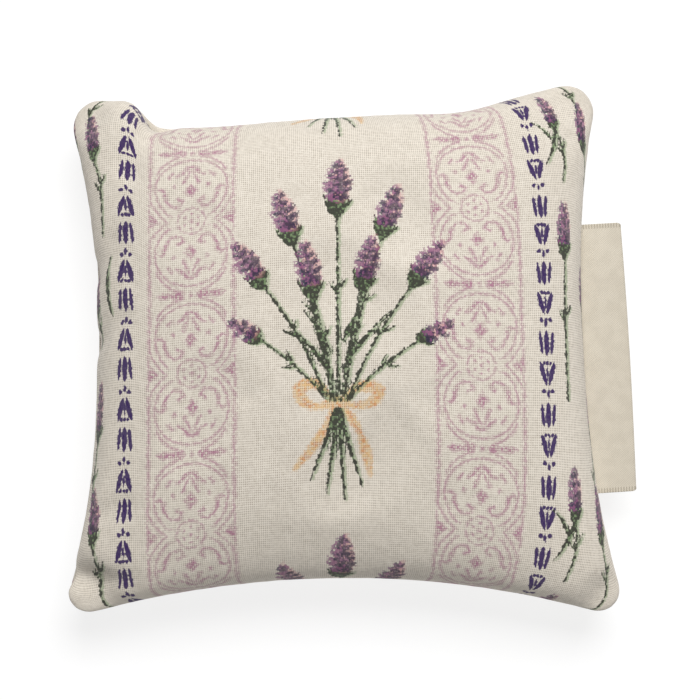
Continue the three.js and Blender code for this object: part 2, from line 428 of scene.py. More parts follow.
# Lilac bands, in millimetres: outward from a band's middle and up from the crossing of two roundels
BAND_CENTRE = 27.6
BAND_HALF_PERIOD = 15.55
BAND_CROSSING = -3.0
BORDER_OUT = 8.4
BORDER_HALF = 0.22
BORDER_STEEP = 0.82
NOTCH_DEPTH = 3.5
NOTCH_REACH = 4.8
NOTCH_POWER = 1.4
EDGE_OUT = 8.5
EDGE_HALF = 0.14
EDGE_END = 3.4
WEDGE_OUT = 8.7
WEDGE_CUT = 8.65
WEDGE_DEPTH = 2.4
WEDGE_HEIGHT = 2.0
WEDGE_STEEP = 1.4
ROUNDEL_UP = 7.3
ROUNDEL_RADIUS = 7.2
ROUNDEL_HALF = 0.22
ROUNDEL_FOOT = 1.3
ROUNDEL_SQUASH = 1.04
ROUNDEL_EGG = 0.085
ARC_UP = 7.4
ARC_RADIUS = 7.7
ARC_HALF = 0.24
ARC_FROM = 2.5
ARC_TO = 6.9
ARC_FOOT = 10.6
LOZENGE_UP = 6.6
LOZENGE_WIDE = 1.3
LOZENGE_TALL = 1.6
LOZENGE_STEEP = 0.95
PETALS = 6.0
WREATH_RADIUS = 2.75
WREATH_HALF = 0.15
WREATH_SWELL = 0.07
FLOWER_RADIUS = 1.55
FLOWER_SWELL = 0.3
HEART_RADIUS = 0.42

# Brush strokes of one quarter of the ornament: the places of each, then the half width at each place
BAND_STROKES = (
    (((0.0, 12.15), (0.9, 11.75), (1.65, 10.7), (2.8, 10.1)), (0.3, 0.42, 0.4, 0.2)),
    (((3.8, 10.7), (4.5, 9.8)), (0.24, 0.3)),
    (((0.35, 10.9), (1.5, 8.5)), (0.24, 0.34)),
    (((3.4, 7.7), (3.45, 7.9)), (0.32, 0.32)),
    (((6.8, 6.9), (6.0, 7.15), (5.35, 6.5), (5.2, 5.1), (4.4, 3.7)), (0.2, 0.3, 0.4, 0.42, 0.26)),
    (((4.4, 3.7), (3.4, 3.1), (2.2, 3.2), (1.6, 4.3), (2.5, 4.8)), (0.26, 0.24, 0.26, 0.32, 0.36)),
    (((2.2, 15.55), (3.7, 15.55), (5.5, 15.55), (6.7, 15.55)), (1.0, 0.46, 0.7, 0.18)),
    (((0.0, 15.5), (0.0, 15.6)), (0.42, 0.42)),
)


def border_gaps(outward, up):
    """Distances to the band's notched border, the short line in its notch and the wedge on that line."""
    to_notch = (1.0 - up / NOTCH_REACH).maths("MAXIMUM", 0.0)
    border = BORDER_OUT - NOTCH_DEPTH * to_notch ** NOTCH_POWER
    wedge = (up / WEDGE_HEIGHT + (WEDGE_OUT - outward) / WEDGE_DEPTH - 1.0) * WEDGE_STEEP
    return [
        abs(outward - border) * BORDER_STEEP - BORDER_HALF,
        most(abs(outward - EDGE_OUT) - EDGE_HALF, up - EDGE_END),
        most(wedge, outward - WEDGE_CUT),
    ]


def roundel_gaps(outward, up):
    """Distances to the roundel, the arc outside its top and the lozenge in its middle."""
    from_middle = up - ROUNDEL_UP
    from_middle = from_middle * (ROUNDEL_SQUASH + ROUNDEL_EGG * from_middle.maths("SIGN"))
    roundel = abs(radius_at(outward, from_middle) - ROUNDEL_RADIUS) - ROUNDEL_HALF
    arc = abs(radius_at(outward, up - ARC_UP) - ARC_RADIUS) - ARC_HALF
    lozenge = outward / LOZENGE_WIDE + abs(up - LOZENGE_UP) / LOZENGE_TALL - 1.0
    return [
        most(roundel, ROUNDEL_FOOT - up),
        most(arc, ARC_FROM - outward, outward - ARC_TO, ARC_FOOT - up),
        lozenge * LOZENGE_STEEP,
    ]


def flower_gaps(outward, up):
    """Distances to the flower on the crossing: its wreath, its petals and its heart."""
    from_crossing = radius_at(outward, up)
    petals = (outward.maths("ARCTAN2", up) * PETALS).maths("COSINE")
    return [
        abs(from_crossing - WREATH_RADIUS) - WREATH_HALF - WREATH_SWELL * petals,
        abs(from_crossing - FLOWER_RADIUS) - FLOWER_SWELL * petals,
        from_crossing - HEART_RADIUS,
    ]


def band_gap(nodes, x, y):
    """Distance to the ornament of the lilac bands: below 0 inside its lines and leaves."""
    outward = abs(abs(x) - BAND_CENTRE)
    up = (y - BAND_CROSSING).maths("PINGPONG", BAND_HALF_PERIOD)
    place = nodes.vector(outward, up)
    gaps = border_gaps(outward, up) + roundel_gaps(outward, up) + flower_gaps(outward, up)
    return least(*gaps, *(painted(nodes, place, points, halves) for points, halves in BAND_STROKES))


# Indigo stripes, in millimetres: across from a stripe's middle and onward from a bud's middle
STRIPE_CENTRE = 41.1
STRIPE_PITCH = 13.2
STRIPE_BUD_RIGHT = 1.2
STRIPE_BUD_LEFT = -2.6
BUD_LEAD = 2.6
BUD_LONG = 2.35
BUD_HALF = 0.52
SEPAL_OUT = 1.2
SEPAL_LEAN = 0.1
SEPAL_LONG = 2.1
SEPAL_HALF = 0.34
PETAL_ON = 5.6
PETAL_OUT = 1.48
PETAL_LEAN = 0.28
PETAL_FOOT = 3.6
PETAL_LONG = 2.15
PETAL_CUT = 2.1
PETAL_HALF = 0.5
VEIN_LONG = 1.2
VEIN_HALF = 0.24

# Dots of the stripes: across, onward, radius, and how far each is squashed lengthwise
STRIPE_DOTS = (
    (0.0, 3.7, 0.33, 1.0),
    (0.72, 3.7, 0.33, 1.0),
    (0.94, 8.85, 0.4, 1.0),
    (0.0, 9.35, 0.31, 0.5),
)


def stripe_gap(x, y):
    """Distance to the buds and dots of the two indigo stripes, which run opposite ways."""
    side = x.maths("SIGN")
    across = abs(abs(x) - STRIPE_CENTRE)
    start = 0.5 * (STRIPE_BUD_RIGHT + STRIPE_BUD_LEFT) + side * (0.5 * (STRIPE_BUD_RIGHT - STRIPE_BUD_LEFT))
    onward = (side * (start - y) + BUD_LEAD).maths("FLOORED_MODULO", STRIPE_PITCH) - BUD_LEAD
    from_petal = onward - PETAL_ON
    bud = across - BUD_HALF * (1.0 - (abs(onward) / BUD_LONG) ** 4)
    sepal_side = abs(across - SEPAL_OUT + onward * SEPAL_LEAN)
    sepal = sepal_side - SEPAL_HALF * (1.0 - (abs(onward) / SEPAL_LONG) ** 4)
    petal_side = abs(across - PETAL_OUT + (onward - PETAL_FOOT) * PETAL_LEAN)
    petal = petal_side - PETAL_HALF * (1.0 - (abs(from_petal) / PETAL_LONG) ** 3)
    vein_share = from_petal / VEIN_LONG
    vein = across - VEIN_HALF * (1.0 - vein_share * vein_share)
    gaps = [bud, sepal, most(petal, abs(from_petal) - PETAL_CUT), vein]
    for out, on, radius, squash in STRIPE_DOTS:
        gaps.append(radius_at(across - out, (onward - on) * squash) - radius)
    return least(*gaps)


# Cotton: the shade that some threads have, its roughness and the height of its weave
DULL_THREAD = (0.94, 0.935, 0.925)
EVEN_THREAD = (1.0, 1.0, 1.0)
COTTON_ROUGH = 0.92
WEAVE_RELIEF = 0.00007
COTTON_SHEEN = {"Sheen Weight": 0.12, "Sheen Roughness": 0.6}


class Cotton:
    """The printed cotton's colour, to which one ink after another is added."""

    def __init__(self, nodes, colours, shift):
        x, y = nodes.map("cloth")
        self.nodes = nodes
        self.height, self.slub, self.crossing = weave(nodes, x, y)
        self.ragged = self.crossing - 0.5
        # Painted shade: the hollows between the threads take the weave gap colour
        filled = nodes.ramp(self.height + self.ragged * 0.18, 0.12, 0.7)
        cloth = nodes.mix(filled, colours.gap, colours.natural)
        threads = nodes.mix(nodes.ramp(self.slub, -0.5, 0.5), DULL_THREAD, EVEN_THREAD)
        self.colour = nodes.mix(1.0, cloth, threads, "MULTIPLY")
        self.x = x + shift[0]
        self.y = y + shift[1]
        place = nodes.vector(self.x, self.y)
        self.blotch = nodes.noise(place, 0.9, 2.0)
        self.fine = nodes.noise(place, 1.7, 1.0)
        self.between_threads = nodes.ramp(self.height, 0.75, 0.3)
        self.tone = self.crossing * 0.75 + (self.fine - 0.5) * 0.8 + 0.12

    def edge(self, gap, threads, starts, full, specks=0.0):
        """Where an ink lies: it starts and is full at these gaps, and threads and specks shift its edge."""
        gap = gap + self.ragged * threads
        if specks:
            gap = gap + (self.fine - 0.5) * specks
        return self.nodes.ramp(gap, starts, full)

    def lay(self, share, ink, blend="MIX"):
        self.colour = self.nodes.mix(share, self.colour, ink, blend)


def print_pattern(cotton, colours):
    """Prints the lilac bands, the indigo stripes and the ribbon."""
    nodes = cotton.nodes
    taken = 0.1 + 0.85 * cotton.crossing + 0.35 * cotton.between_threads
    band = cotton.edge(band_gap(nodes, cotton.x, cotton.y), threads=0.7, starts=0.34, full=-0.14)
    cotton.lay(band * taken, colours.lilac, "MULTIPLY")
    stripe = cotton.edge(stripe_gap(cotton.x, cotton.y), threads=0.26, starts=0.15, full=-0.05)
    cotton.lay(stripe * (0.94 + 0.06 * cotton.crossing), colours.indigo)
    ribbon = cotton.edge(nodes.layer("ribbon_gap"), threads=0.3, starts=0.3, full=-0.4, specks=0.9)
    shaded = nodes.ramp(cotton.blotch + cotton.ragged * 0.14, 0.47, 0.66)
    taken = 0.35 + 0.5 * cotton.crossing + 0.3 * cotton.between_threads
    cotton.lay(ribbon * taken, nodes.mix(shaded, colours.peach, colours.amber), "MULTIPLY")


def print_stems(cotton, colours):
    """Prints the stems and leaves: a pale shape first, then the dark lines."""
    nodes = cotton.nodes
    pale = cotton.edge(nodes.layer("green_gap"), threads=0.3, starts=0.16, full=-0.16, specks=0.5)
    cotton.lay(pale * (0.35 + 0.5 * cotton.tone), colours.leaf)
    near_stem = nodes.ramp(nodes.layer("stem_gap"), 0.45, 0.3)
    gap = abs(nodes.layer("stem_side")) - nodes.layer("stem_half") + (cotton.blotch - 0.46) * 0.7
    dark = cotton.edge(gap, threads=0.3, starts=0.12, full=-0.12)
    ink = nodes.mix(nodes.ramp(cotton.tone, 0.55, 0.95) * 0.75, colours.moss, colours.leaf)
    cotton.lay(dark * near_stem * 0.95, ink)


def print_spikes(cotton, colours):
    """Prints the flower heads: a pale edge first, then florets that are darker on one side."""
    nodes = cotton.nodes
    blush = cotton.edge(nodes.layer("blush_gap"), threads=0.6, starts=0.25, full=-0.35, specks=0.9)
    cotton.lay(blush * (0.2 + 0.55 * cotton.tone), colours.blush)
    floret = cotton.edge(nodes.layer("spike_gap"), threads=0.6, starts=0.36, full=-0.06, specks=0.9)
    to_dusk = cotton.blotch * 0.9 + nodes.layer("spike_side") * 0.07 + cotton.tone * 0.4 - 0.06
    ink = nodes.mix(nodes.ramp(to_dusk, 0.4, 0.54), colours.orchid, colours.violet)
    ink = nodes.mix(nodes.ramp(to_dusk, 0.52, 0.64), ink, colours.dusk)
    cotton.lay(floret * (0.7 + 0.3 * cotton.tone), ink)


def cloth_material(colours, name, shift):
    """Printed plain-weave cotton. The print lies on the piece's own map, moved by shift."""
    material, nodes = plain_material(name)
    cotton = Cotton(nodes, colours, shift)
    print_pattern(cotton, colours)
    print_stems(cotton, colours)
    print_spikes(cotton, colours)
    depth = cotton.height * 0.8 + cotton.slub * 0.2
    nodes.finish(cotton.colour, COTTON_ROUGH, depth, WEAVE_RELIEF, 0.8, **COTTON_SHEEN)
    return material


# Bunch and sprigs, a design of this model's own, in millimetres. Heads of the bunch: the place of each
# from the tie, its lean in radians, its length and its half width
BUNCH_HEADS = (
    (0.6, 39.5, 0.04, 9.4, 2.7),
    (-8.6, 33.8, -0.26, 9.0, 2.5),
    (9.6, 34.6, 0.3, 8.8, 2.4),
    (-14.8, 25.0, -0.55, 8.4, 2.2),
    (15.6, 24.2, 0.58, 8.4, 2.2),
    (-4.6, 22.6, -0.16, 8.8, 2.4),
    (5.4, 23.8, 0.2, 8.4, 2.3),
    (-15.6, 13.4, -0.95, 5.4, 1.7),
    (16.8, 12.4, 1.05, 5.6, 1.7),
)

# Long leaves of the bunch: left or right, height of the foot, reach to the side and rise
BUNCH_LEAVES = ((-1, 5.0, 8.2, 9.5), (1, 6.4, 9.4, 10.4), (-1, 9.5, 6.0, 8.0), (1, 11.5, 5.2, 7.2))

# Cut ends of the stems below the tie
BUNCH_FEET = ((-5.0, -14.5), (-2.0, -17.5), (1.4, -18.6), (4.6, -16.0))

# Loops of the ribbon's bow: left or right, height and width
BOW_LOOPS = ((-1, 5.4, 7.2), (1, 4.4, 7.9))

# The ribbon's knot and its two tails: start, bend, end and half widths
RIBBON_STROKES = (
    ((-1.6, -0.3), (0, 0.3), (1.7, -0.1), (1.1, 1.4, 1.1)),
    ((-0.8, -1.0), (-2.6, -7.0), (-8.2, -12.6), (0.5, 0.6, 1.1, 0.9, 0.4)),
    ((0.8, -1.0), (5.0, -4.4), (6.2, -14.4), (0.5, 1.0, 0.6, 1.2, 0.4)),
)

# Sprigs from the middle line between two stripes: foot, bend, head, its lean, length and half width
SPRIGS = (
    ((-6.4, -9.0), (-6.8, 4.0), (-5.8, 20.0), 0.04, 8.0, 1.7),
    ((5.2, 24.0), (6.2, 34.0), (3.6, 42.0), -0.12, 8.0, 1.7),
    ((-5.0, -42.0), (-3.0, -36.0), (-4.6, -29.0), -0.1, 7.0, 1.5),
    ((2.6, -33.0), (1.4, -24.0), (3.0, -13.5), 0.08, 8.6, 1.7),
    ((2.0, 2.0), (2.6, 6.0), (1.6, 10.0), -0.1, 6.4, 1.4),
)

# Loose leaves among the sprigs: start, bend, end and half widths
SPRIG_LEAVES = (
    ((-8.2, 36.5), (-4.6, 41.0), (-4.0, 48.5), (0.15, 0.5, 0.12)),
    ((-5.4, 40.0), (-7.0, 44.0), (-9.6, 45.5), (0.25, 0.35, 0.1)),
    ((7.4, 8.0), (5.6, 14.0), (7.0, 19.5), (0.15, 0.6, 0.12)),
)

# How far the print's pale green and pale violet lie beside their dark ink
GREEN_SHIFT = (0.35, -0.1)
GREEN_GROW = 0.1
BLUSH_SHIFT = (0.55, 0.3)

FLORET_PITCH = 1.5
STEM_HALF = 0.3


def stroke(start, bend, end, halves, steps=8):
    """A brush stroke: a bent line from start to end, with its half widths from end to end."""
    shares = np.linspace(0, 1, steps + 1)
    a, b, c = (np.array(point, float) for point in (start, bend, end))
    points = [(1 - t) ** 2 * a + 2 * t * (1 - t) * b + t * t * c for t in shares]
    widths = np.interp(shares, np.linspace(0, 1, len(halves)), halves)
    return points, widths


def nearest(x, y, strokes, shift=(0.0, 0.0), grow=0.0, reach=3.0):
    """For each place: the distance past the nearest stroke's edge, the signed distance from its
    middle line and its half width there."""
    gap = np.full(x.shape, reach)
    side = np.full(x.shape, reach)
    half = np.full(x.shape, 0.1)
    for points, widths in strokes:
        first = np.min(points, 0) + shift - reach
        last = np.max(points, 0) + shift + reach
        around = np.flatnonzero((x > first[0]) & (x < last[0]) & (y > first[1]) & (y < last[1]))
        if not len(around):
            continue
        for step in range(len(points) - 1):
            start = points[step] + np.array(shift)
            line = points[step + 1] - points[step]
            from_start = np.stack([x[around], y[around]]) - start[:, None]
            share = np.clip((line @ from_start) / (line @ line), 0, 1)
            away = from_start - line[:, None] * share
            distance = np.hypot(*away)
            width = widths[step] + (widths[step + 1] - widths[step]) * share + grow
            better = distance - width < gap[around]
            chosen = around[better]
            sign = np.sign(line[0] * away[1] - line[1] * away[0])[better]
            gap[chosen] = (distance - width)[better]
            side[chosen] = distance[better] * np.where(sign == 0, 1, sign)
            half[chosen] = width[better]
    return gap, side, half


def florets(top, direction, across, length, half):
    """The florets of one head: rows of short strokes that lean out and up, smaller to its tip."""
    rows = round(length / FLORET_PITCH)
    strokes = []
    for row in range(rows):
        share = row / (rows - 1)
        width = half * (0.72 + 0.3 * math.sin(math.pi * share ** 0.7)) * (1 - 0.6 * share ** 2)
        centre = top + direction * length * 0.84 * share
        bulk = 1.0 - 0.35 * share
        for hand in (-1, 0, 1):
            sway = 0.35 * math.sin(row * 2.4 + hand * 1.9 + length)
            rise = 1.3 + sway * 0.5 - 0.4 * abs(hand)
            start = centre + across * hand * width * 0.2
            end = centre + across * (hand * width + 0.3 * sway) + direction * rise
            bend = (start + end) / 2 + across * hand * 0.25
            strokes.append(stroke(start, bend, end, (0.5 * bulk, 0.78 * bulk, 0.55 * bulk, 0.2), 3))
    return strokes


def lavender_stem(foot, bend, top, lean, length, half):
    """One lavender stem with its leaves, calyx and head, and the head's axis."""
    direction = np.array([math.sin(lean), math.cos(lean)])
    across = np.array([direction[1], -direction[0]])
    top = np.array(top, float)
    neck = top - direction * length * 0.36
    crown = top + direction * length * 0.16
    tip = top + direction * length
    stems = [
        stroke(foot, bend, neck, (STEM_HALF * 0.8, STEM_HALF, STEM_HALF * 0.8)),
        stroke(neck, (neck + top) / 2, crown, (0.3, 0.3 * half, 0.55 * half, 0.74 * half, 0.4 * half), 6),
    ]
    for hand in (-1, 1):
        start = neck + direction * length * (0.14 + 0.06 * hand)
        end = top + direction * length * (0.1 - 0.05 * hand) + across * hand * half * 0.95
        stems.append(stroke(start, start + across * hand * half * 0.6, end, (0.3, 0.46, 0.2), 4))
        node = 0.2 * np.array(foot) + 0.45 * np.array(bend) + 0.35 * neck + direction * hand * 0.5
        leaf = node + direction * 1.9 + across * hand * 1.5
        stems.append(stroke(node, node + across * hand * 0.9 + direction * 0.4, leaf, (0.24, 0.3, 0.1), 4))
    head = florets(top + direction * length * 0.1, direction, across, length * 0.9, half)
    axis = stroke(crown, (crown + tip) / 2, tip, (0.7 * half, 0.85 * half, 0.6 * half, 0.2 * half), 6)
    return {"stem": stems, "spike": head, "axis": [axis]}


def add(drawing, more, x=0.0, y=0.0):
    """Adds the strokes of one drawing to another, moved by x and y on the cloth."""
    for kind, strokes in more.items():
        moved = [([point + np.array((x, y)) for point in points], widths) for points, widths in strokes]
        drawing.setdefault(kind, []).extend(moved)


def bunch():
    """A fan of nine lavender stems, tied with a ribbon. The tie is at the middle."""
    drawing = {}
    for x, y, lean, length, half in BUNCH_HEADS:
        add(drawing, lavender_stem((x * 0.13, 0.5), (x * 0.42, y * 0.5), (x, y), lean, length, half))
    for hand, height, reach, rise in BUNCH_LEAVES:
        bend = (hand * reach * 0.35, height + rise * 0.35)
        leaf = stroke((hand * 1.2, height), bend, (hand * reach, height + rise), (0.2, 0.5, 0.1))
        drawing["stem"].append(leaf)
    for x, y in BUNCH_FEET:
        drawing["stem"].append(stroke((x * 0.12, -1.6), (x * 0.4, y * 0.5), (x, y), (0.42, 0.4, 0.15)))
    knot, *tails = RIBBON_STROKES
    ribbons = [stroke(*knot, 3)]
    for hand, high, wide in BOW_LOOPS:
        far = (hand * wide, 0.5 * high)
        over = (hand * 0.55 * wide, high)
        under = (hand * 0.95 * wide, -1.7)
        ribbons.append(stroke((hand * 1.0, 0.5), over, far, (0.5, 0.9, 1.3, 1.2)))
        ribbons.append(stroke(far, under, (hand * 1.0, -0.5), (1.2, 1.2, 0.8, 0.5)))
    drawing["ribbon"] = ribbons + [stroke(*tail) for tail in tails]
    return drawing


def sprigs():
    """Loose sprigs of the column between two stripes, from its middle line."""
    drawing = {}
    for sprig in SPRIGS:
        add(drawing, lavender_stem(*sprig))
    drawing["stem"] += [stroke(*leaf) for leaf in SPRIG_LEAVES]
    return drawing


def print_layers(x, y):
    """What the shader needs to know about the drawn part of the print at each place."""
    drawing = {}
    centre, side = bunch(), sprigs()
    for row in range(-2, 3):
        up = row * PRINT_REPEAT_Y
        for column in (-1, 0, 1):
            add(drawing, centre, BUNCH_TIE[0] + column * PRINT_REPEAT_X, BUNCH_TIE[1] + up)
        for column in (-3, -1, 1, 3):
            add(drawing, side, column * SPRIG_CENTRE, up)
    stem_gap, stem_side, stem_half = nearest(x, y, drawing["stem"])
    return {
        "stem_gap": stem_gap,
        "stem_side": stem_side,
        "stem_half": stem_half,
        "green_gap": nearest(x, y, drawing["stem"], GREEN_SHIFT, GREEN_GROW)[0],
        "spike_gap": nearest(x, y, drawing["spike"])[0],
        "spike_side": -nearest(x, y, drawing["axis"])[1],
        "blush_gap": nearest(x, y, drawing["axis"], BLUSH_SHIFT)[0],
        "ribbon_gap": nearest(x, y, drawing["ribbon"])[0],
    }


# Meshes


def numbers(items, attribute, width=1, kind=np.float32):
    """One attribute of all the items of a collection, with a row of values for each."""
    values = np.empty(len(items) * width, kind)
    items.foreach_get(attribute, values)
    return values.reshape(-1, width) if width > 1 else values


def store(mesh, name, values):
    """Keeps a value for each point of the mesh."""
    layer = mesh.attributes.get(name) or mesh.attributes.new(name, "FLOAT", "POINT")
    layer.data.foreach_set("value", np.asarray(values, np.float32))


def read(mesh, name, kind=np.float32):
    """The values kept under a name."""
    return numbers(mesh.attributes[name].data, "value", 1, kind)


def add_grid(bm, points):
    """Adds a grid of faces through rows of points; gives its vertices, row by row, and its faces."""
    rows, columns = points.shape[:2]
    verts = bmesh.ops.create_grid(bm, x_segments=columns - 1, y_segments=rows - 1, size=1)["verts"]
    for vert, spot in zip(verts, points.reshape(-1, 3)):
        vert.co = spot
    return verts, list({face for vert in verts for face in vert.link_faces})


def only(items, kind):
    """Those of a bmesh operator's results that are of one kind."""
    return [item for item in items if isinstance(item, kind)]


def face_outwards(bm):
    """Turns a closed mesh inside out if its faces look inwards."""
    if bm.calc_volume(signed=True) < 0:
        bmesh.ops.reverse_faces(bm, faces=bm.faces[:])


def mesh_of(bm, name, smooth=True):
    """Turns a bmesh into a mesh."""
    if smooth:
        for face in bm.faces:
            face.smooth = True
    mesh = bpy.data.meshes.new(name)
    bm.to_mesh(mesh)
    bm.free()
    return mesh


def put_in_scene(name, data):
    """An object for a mesh, a lamp or a camera."""
    item = bpy.data.objects.new(name, data)
    bpy.context.scene.collection.objects.link(item)
    return item


def discard(item):
    """Removes a helper object and its mesh."""
    mesh = item.data
    bpy.data.objects.remove(item)
    bpy.data.meshes.remove(mesh)


def hand_over(piece, material, node):
    """Gives a piece its material, attaches it to the root body and hides the imported part that it stands
    for.
    """
    piece.data.materials.append(material)
    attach(piece, "root")
    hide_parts(node)


# Pillow: scale of its simulation, size of its flat panels, and where both sides of the cloth lie on the
# bake's map

SIM_SCALE = 10.0
FLAT_WIDTH = 0.113
FLAT_HEIGHT = 0.111
BAKE_LOW = 0.05
BAKE_SPAN = 0.86
BAKE_INNER = 0.93
BAKE_INNER_SPAN = 0.06


def bow(s, deepest, power):
    """Bow of a side, for s from -1 to 1: 0 at its two corners and 1 at its deepest place."""
    from_deepest = (s - deepest) / np.where(s < deepest, 1 + deepest, 1 - deepest)
    return 1 - np.abs(from_deepest) ** power


def corners(pillow):
    """The seam's four corners from above, by side and end: -1 is left or bottom, 1 is right or top."""
    rows = {1: (pillow.top_offset, pillow.top_width), -1: (pillow.bottom_offset, pillow.bottom_width)}
    columns = {-1: (pillow.left_offset, pillow.left_height), 1: (pillow.right_offset, pillow.right_height)}
    places = {}
    for end, (middle_x, width) in rows.items():
        for side, (middle_y, height) in columns.items():
            places[side, end] = (middle_x + side * width / 2, middle_y + end * height / 2)
    return places


def cut_plan(pillow, u, v):
    """Place on the cut cloth, for u and v from -1 to 1."""
    x, y = 0, 0
    for (side, end), (corner_x, corner_y) in corners(pillow).items():
        weight = (1 + side * u) * (1 + end * v) / 4
        x = x + weight * corner_x
        y = y + weight * corner_y
    return x, y


def round_corners(pillow, u, v):
    """Moves u and v near a corner of the square onto its round."""
    half_span = (pillow.top_width + pillow.bottom_width + pillow.left_height + pillow.right_height) / 8
    reach = np.where(v > 0, pillow.top_radius, pillow.bottom_radius) / half_span
    a = np.maximum(np.abs(u) - 1 + reach, 0) / reach
    b = np.maximum(np.abs(v) - 1 + reach, 0) / reach
    round_u = u - np.sign(u) * reach * a * (1 - np.sqrt(1 - b * b / 2))
    round_v = v - np.sign(v) * reach * b * (1 - np.sqrt(1 - a * a / 2))
    return round_u, round_v


def seam_plan(pillow, u, v):
    """Place on the sewn pillow seen from above, its sides drawn in."""
    u, v = round_corners(pillow, u, v)
    x, y = cut_plan(pillow, u, v)
    side_bow = bow(v, 0, pillow.side_bow_power)
    x = x + side_bow * (pillow.left_draw * (1 - u) - pillow.right_draw * (1 + u)) / 2
    low_bow = bow(u, 0, pillow.bow_power) * pillow.bottom_draw
    top_bow = bow(u, pillow.top_draw_share, pillow.bow_power) * pillow.top_draw
    for depth, deepest, left_reach, right_reach in (
        (pillow.notch, pillow.notch_share, pillow.notch_steep, pillow.notch_gentle),
        (pillow.dip, pillow.dip_share, pillow.dip_reach, pillow.dip_reach),
    ):
        from_deepest = u - deepest
        reach = np.where(from_deepest < 0, left_reach, right_reach)
        top_bow = top_bow + depth * np.exp(-((from_deepest / reach) ** 2)) * np.clip(v, 0, 1) ** 2
    return x, y + (low_bow * (1 - v) - top_bow * (1 + v)) / 2


def crown_share(u, v, fullness):
    """Share of the crown's height: nothing along the seam and 1 in the middle."""
    inside = (1 - np.abs(u) ** fullness) * (1 - np.abs(v) ** fullness)
    return np.sqrt(np.maximum(inside, 0))


def grid_shares(cells):
    """u and v of a panel's grid, row by row, and which of its places are on the edge."""
    line = np.linspace(-1, 1, cells + 1)
    u, v = np.meshgrid(line, line)
    return u, v, (np.abs(u) == 1) | (np.abs(v) == 1)


def two_panels(cells):
    """Two square panels joined along their edges, each vertex numbered by its place."""
    bm = bmesh.new()
    place = bm.verts.layers.int.new("place")
    bmesh.ops.create_grid(bm, x_segments=cells, y_segments=cells, size=1)
    for index, vert in enumerate(bm.verts):
        vert[place] = index
    total = len(bm.verts)
    fronts = {vert[place]: vert for vert in bm.verts}
    copy = bmesh.ops.duplicate(bm, geom=bm.verts[:] + bm.edges[:] + bm.faces[:])["geom"]
    backs = only(copy, bmesh.types.BMVert)
    bmesh.ops.reverse_faces(bm, faces=only(copy, bmesh.types.BMFace))
    seam = {vert: fronts[vert[place]] for vert in backs if vert.is_boundary}
    for vert in backs:
        vert[place] += total
    bmesh.ops.weld_verts(bm, targetmap=seam)
    return bm


# Cloth simulation: rounds that even out its grid, the filling's lumps, and the cotton's stiffness
EVEN_ROUNDS = 8
LUMPS = (2.1, 1.9, 3.7)
CLOTH_SETTINGS = {
    "quality": 8,
    "mass": 1,
    "air_damping": 5,
    "tension_stiffness": 40,
    "compression_stiffness": 40,
    "shear_stiffness": 20,
    "bending_stiffness": 1.5,
    "tension_damping": 20,
    "compression_damping": 20,
    "shear_damping": 20,
    "use_pressure": True,
    "uniform_pressure_force": 0,
    "use_pressure_volume": True,
}


def even_shares(pillow, u, v, reach):
    """Moves the places of a panel's grid along its crown until the cloth lies evenly on it."""
    s, t = u.copy(), v.copy()
    for _ in range(EVEN_ROUNDS):
        for turned in (False, True):
            x, y = seam_plan(pillow, s, t)
            points = np.stack([x, y, reach * crown_share(s, t, pillow.fullness)], 2)
            if turned:
                points, s, t = points.transpose(1, 0, 2), s.T, t.T
            steps = np.linalg.norm(np.diff(points, axis=1), axis=2)
            run = np.concatenate([np.zeros((len(s), 1)), np.cumsum(steps, 1)], 1)
            for row in range(len(s)):
                even = np.linspace(0, run[row, -1], run.shape[1])
                s[row], t[row] = np.interp(even, run[row], s[row]), np.interp(even, run[row], t[row])
            if turned:
                s, t = s.T.copy(), t.T.copy()
    return s, t


def mesh_volume(points, triangles):
    """Volume inside a closed mesh of triangles."""
    a, b, c = (points[triangles[:, corner]] for corner in range(3))
    return float(np.einsum("ij,ij->i", a, np.cross(b, c)).sum() / 6)


def crowned_panels(pillow):
    """Places of both panels before the simulation: plain crowns, a little uneven."""
    u, v, _ = grid_shares(pillow.cells)
    wobble = [noise.noise(Vector((a * LUMPS[0], b * LUMPS[1], LUMPS[2]))) for a, b in zip(u.flat, v.flat)]
    wobble = 1 + pillow.unevenness * np.array(wobble).reshape(u.shape)
    sides = []
    for reach in (pillow.rise, -pillow.drop):
        s, t = even_shares(pillow, u, v, reach)
        x, y = seam_plan(pillow, s, t)
        height = reach * crown_share(s, t, pillow.fullness) * wobble
        sides.append(np.stack([x, y, height], 2).reshape(-1, 3))
    return np.concatenate(sides) * SIM_SCALE


def settle(pillow, sewn, volume):
    """Places of the sewn panels' vertices after the filling has pressed them out."""
    cloth = sewn.modifiers.new("Cloth", "CLOTH")
    for name, value in CLOTH_SETTINGS.items():
        setattr(cloth.settings, name, value)
    cloth.settings.shrink_min = -pillow.slack
    cloth.settings.target_volume = volume
    cloth.settings.pressure_factor = pillow.pressure
    cloth.settings.effector_weights.gravity = 0
    frames = pillow.frames
    cloth.point_cache.frame_start = 1
    cloth.point_cache.frame_end = max(frames, 2)
    scene = bpy.context.scene
    for step in range(1, frames + 1):
        scene.frame_set(step)
    settled = sewn.evaluated_get(bpy.context.evaluated_depsgraph_get())
    points = numbers(settled.data.vertices, "co", 3)
    scene.frame_set(1)
    return points


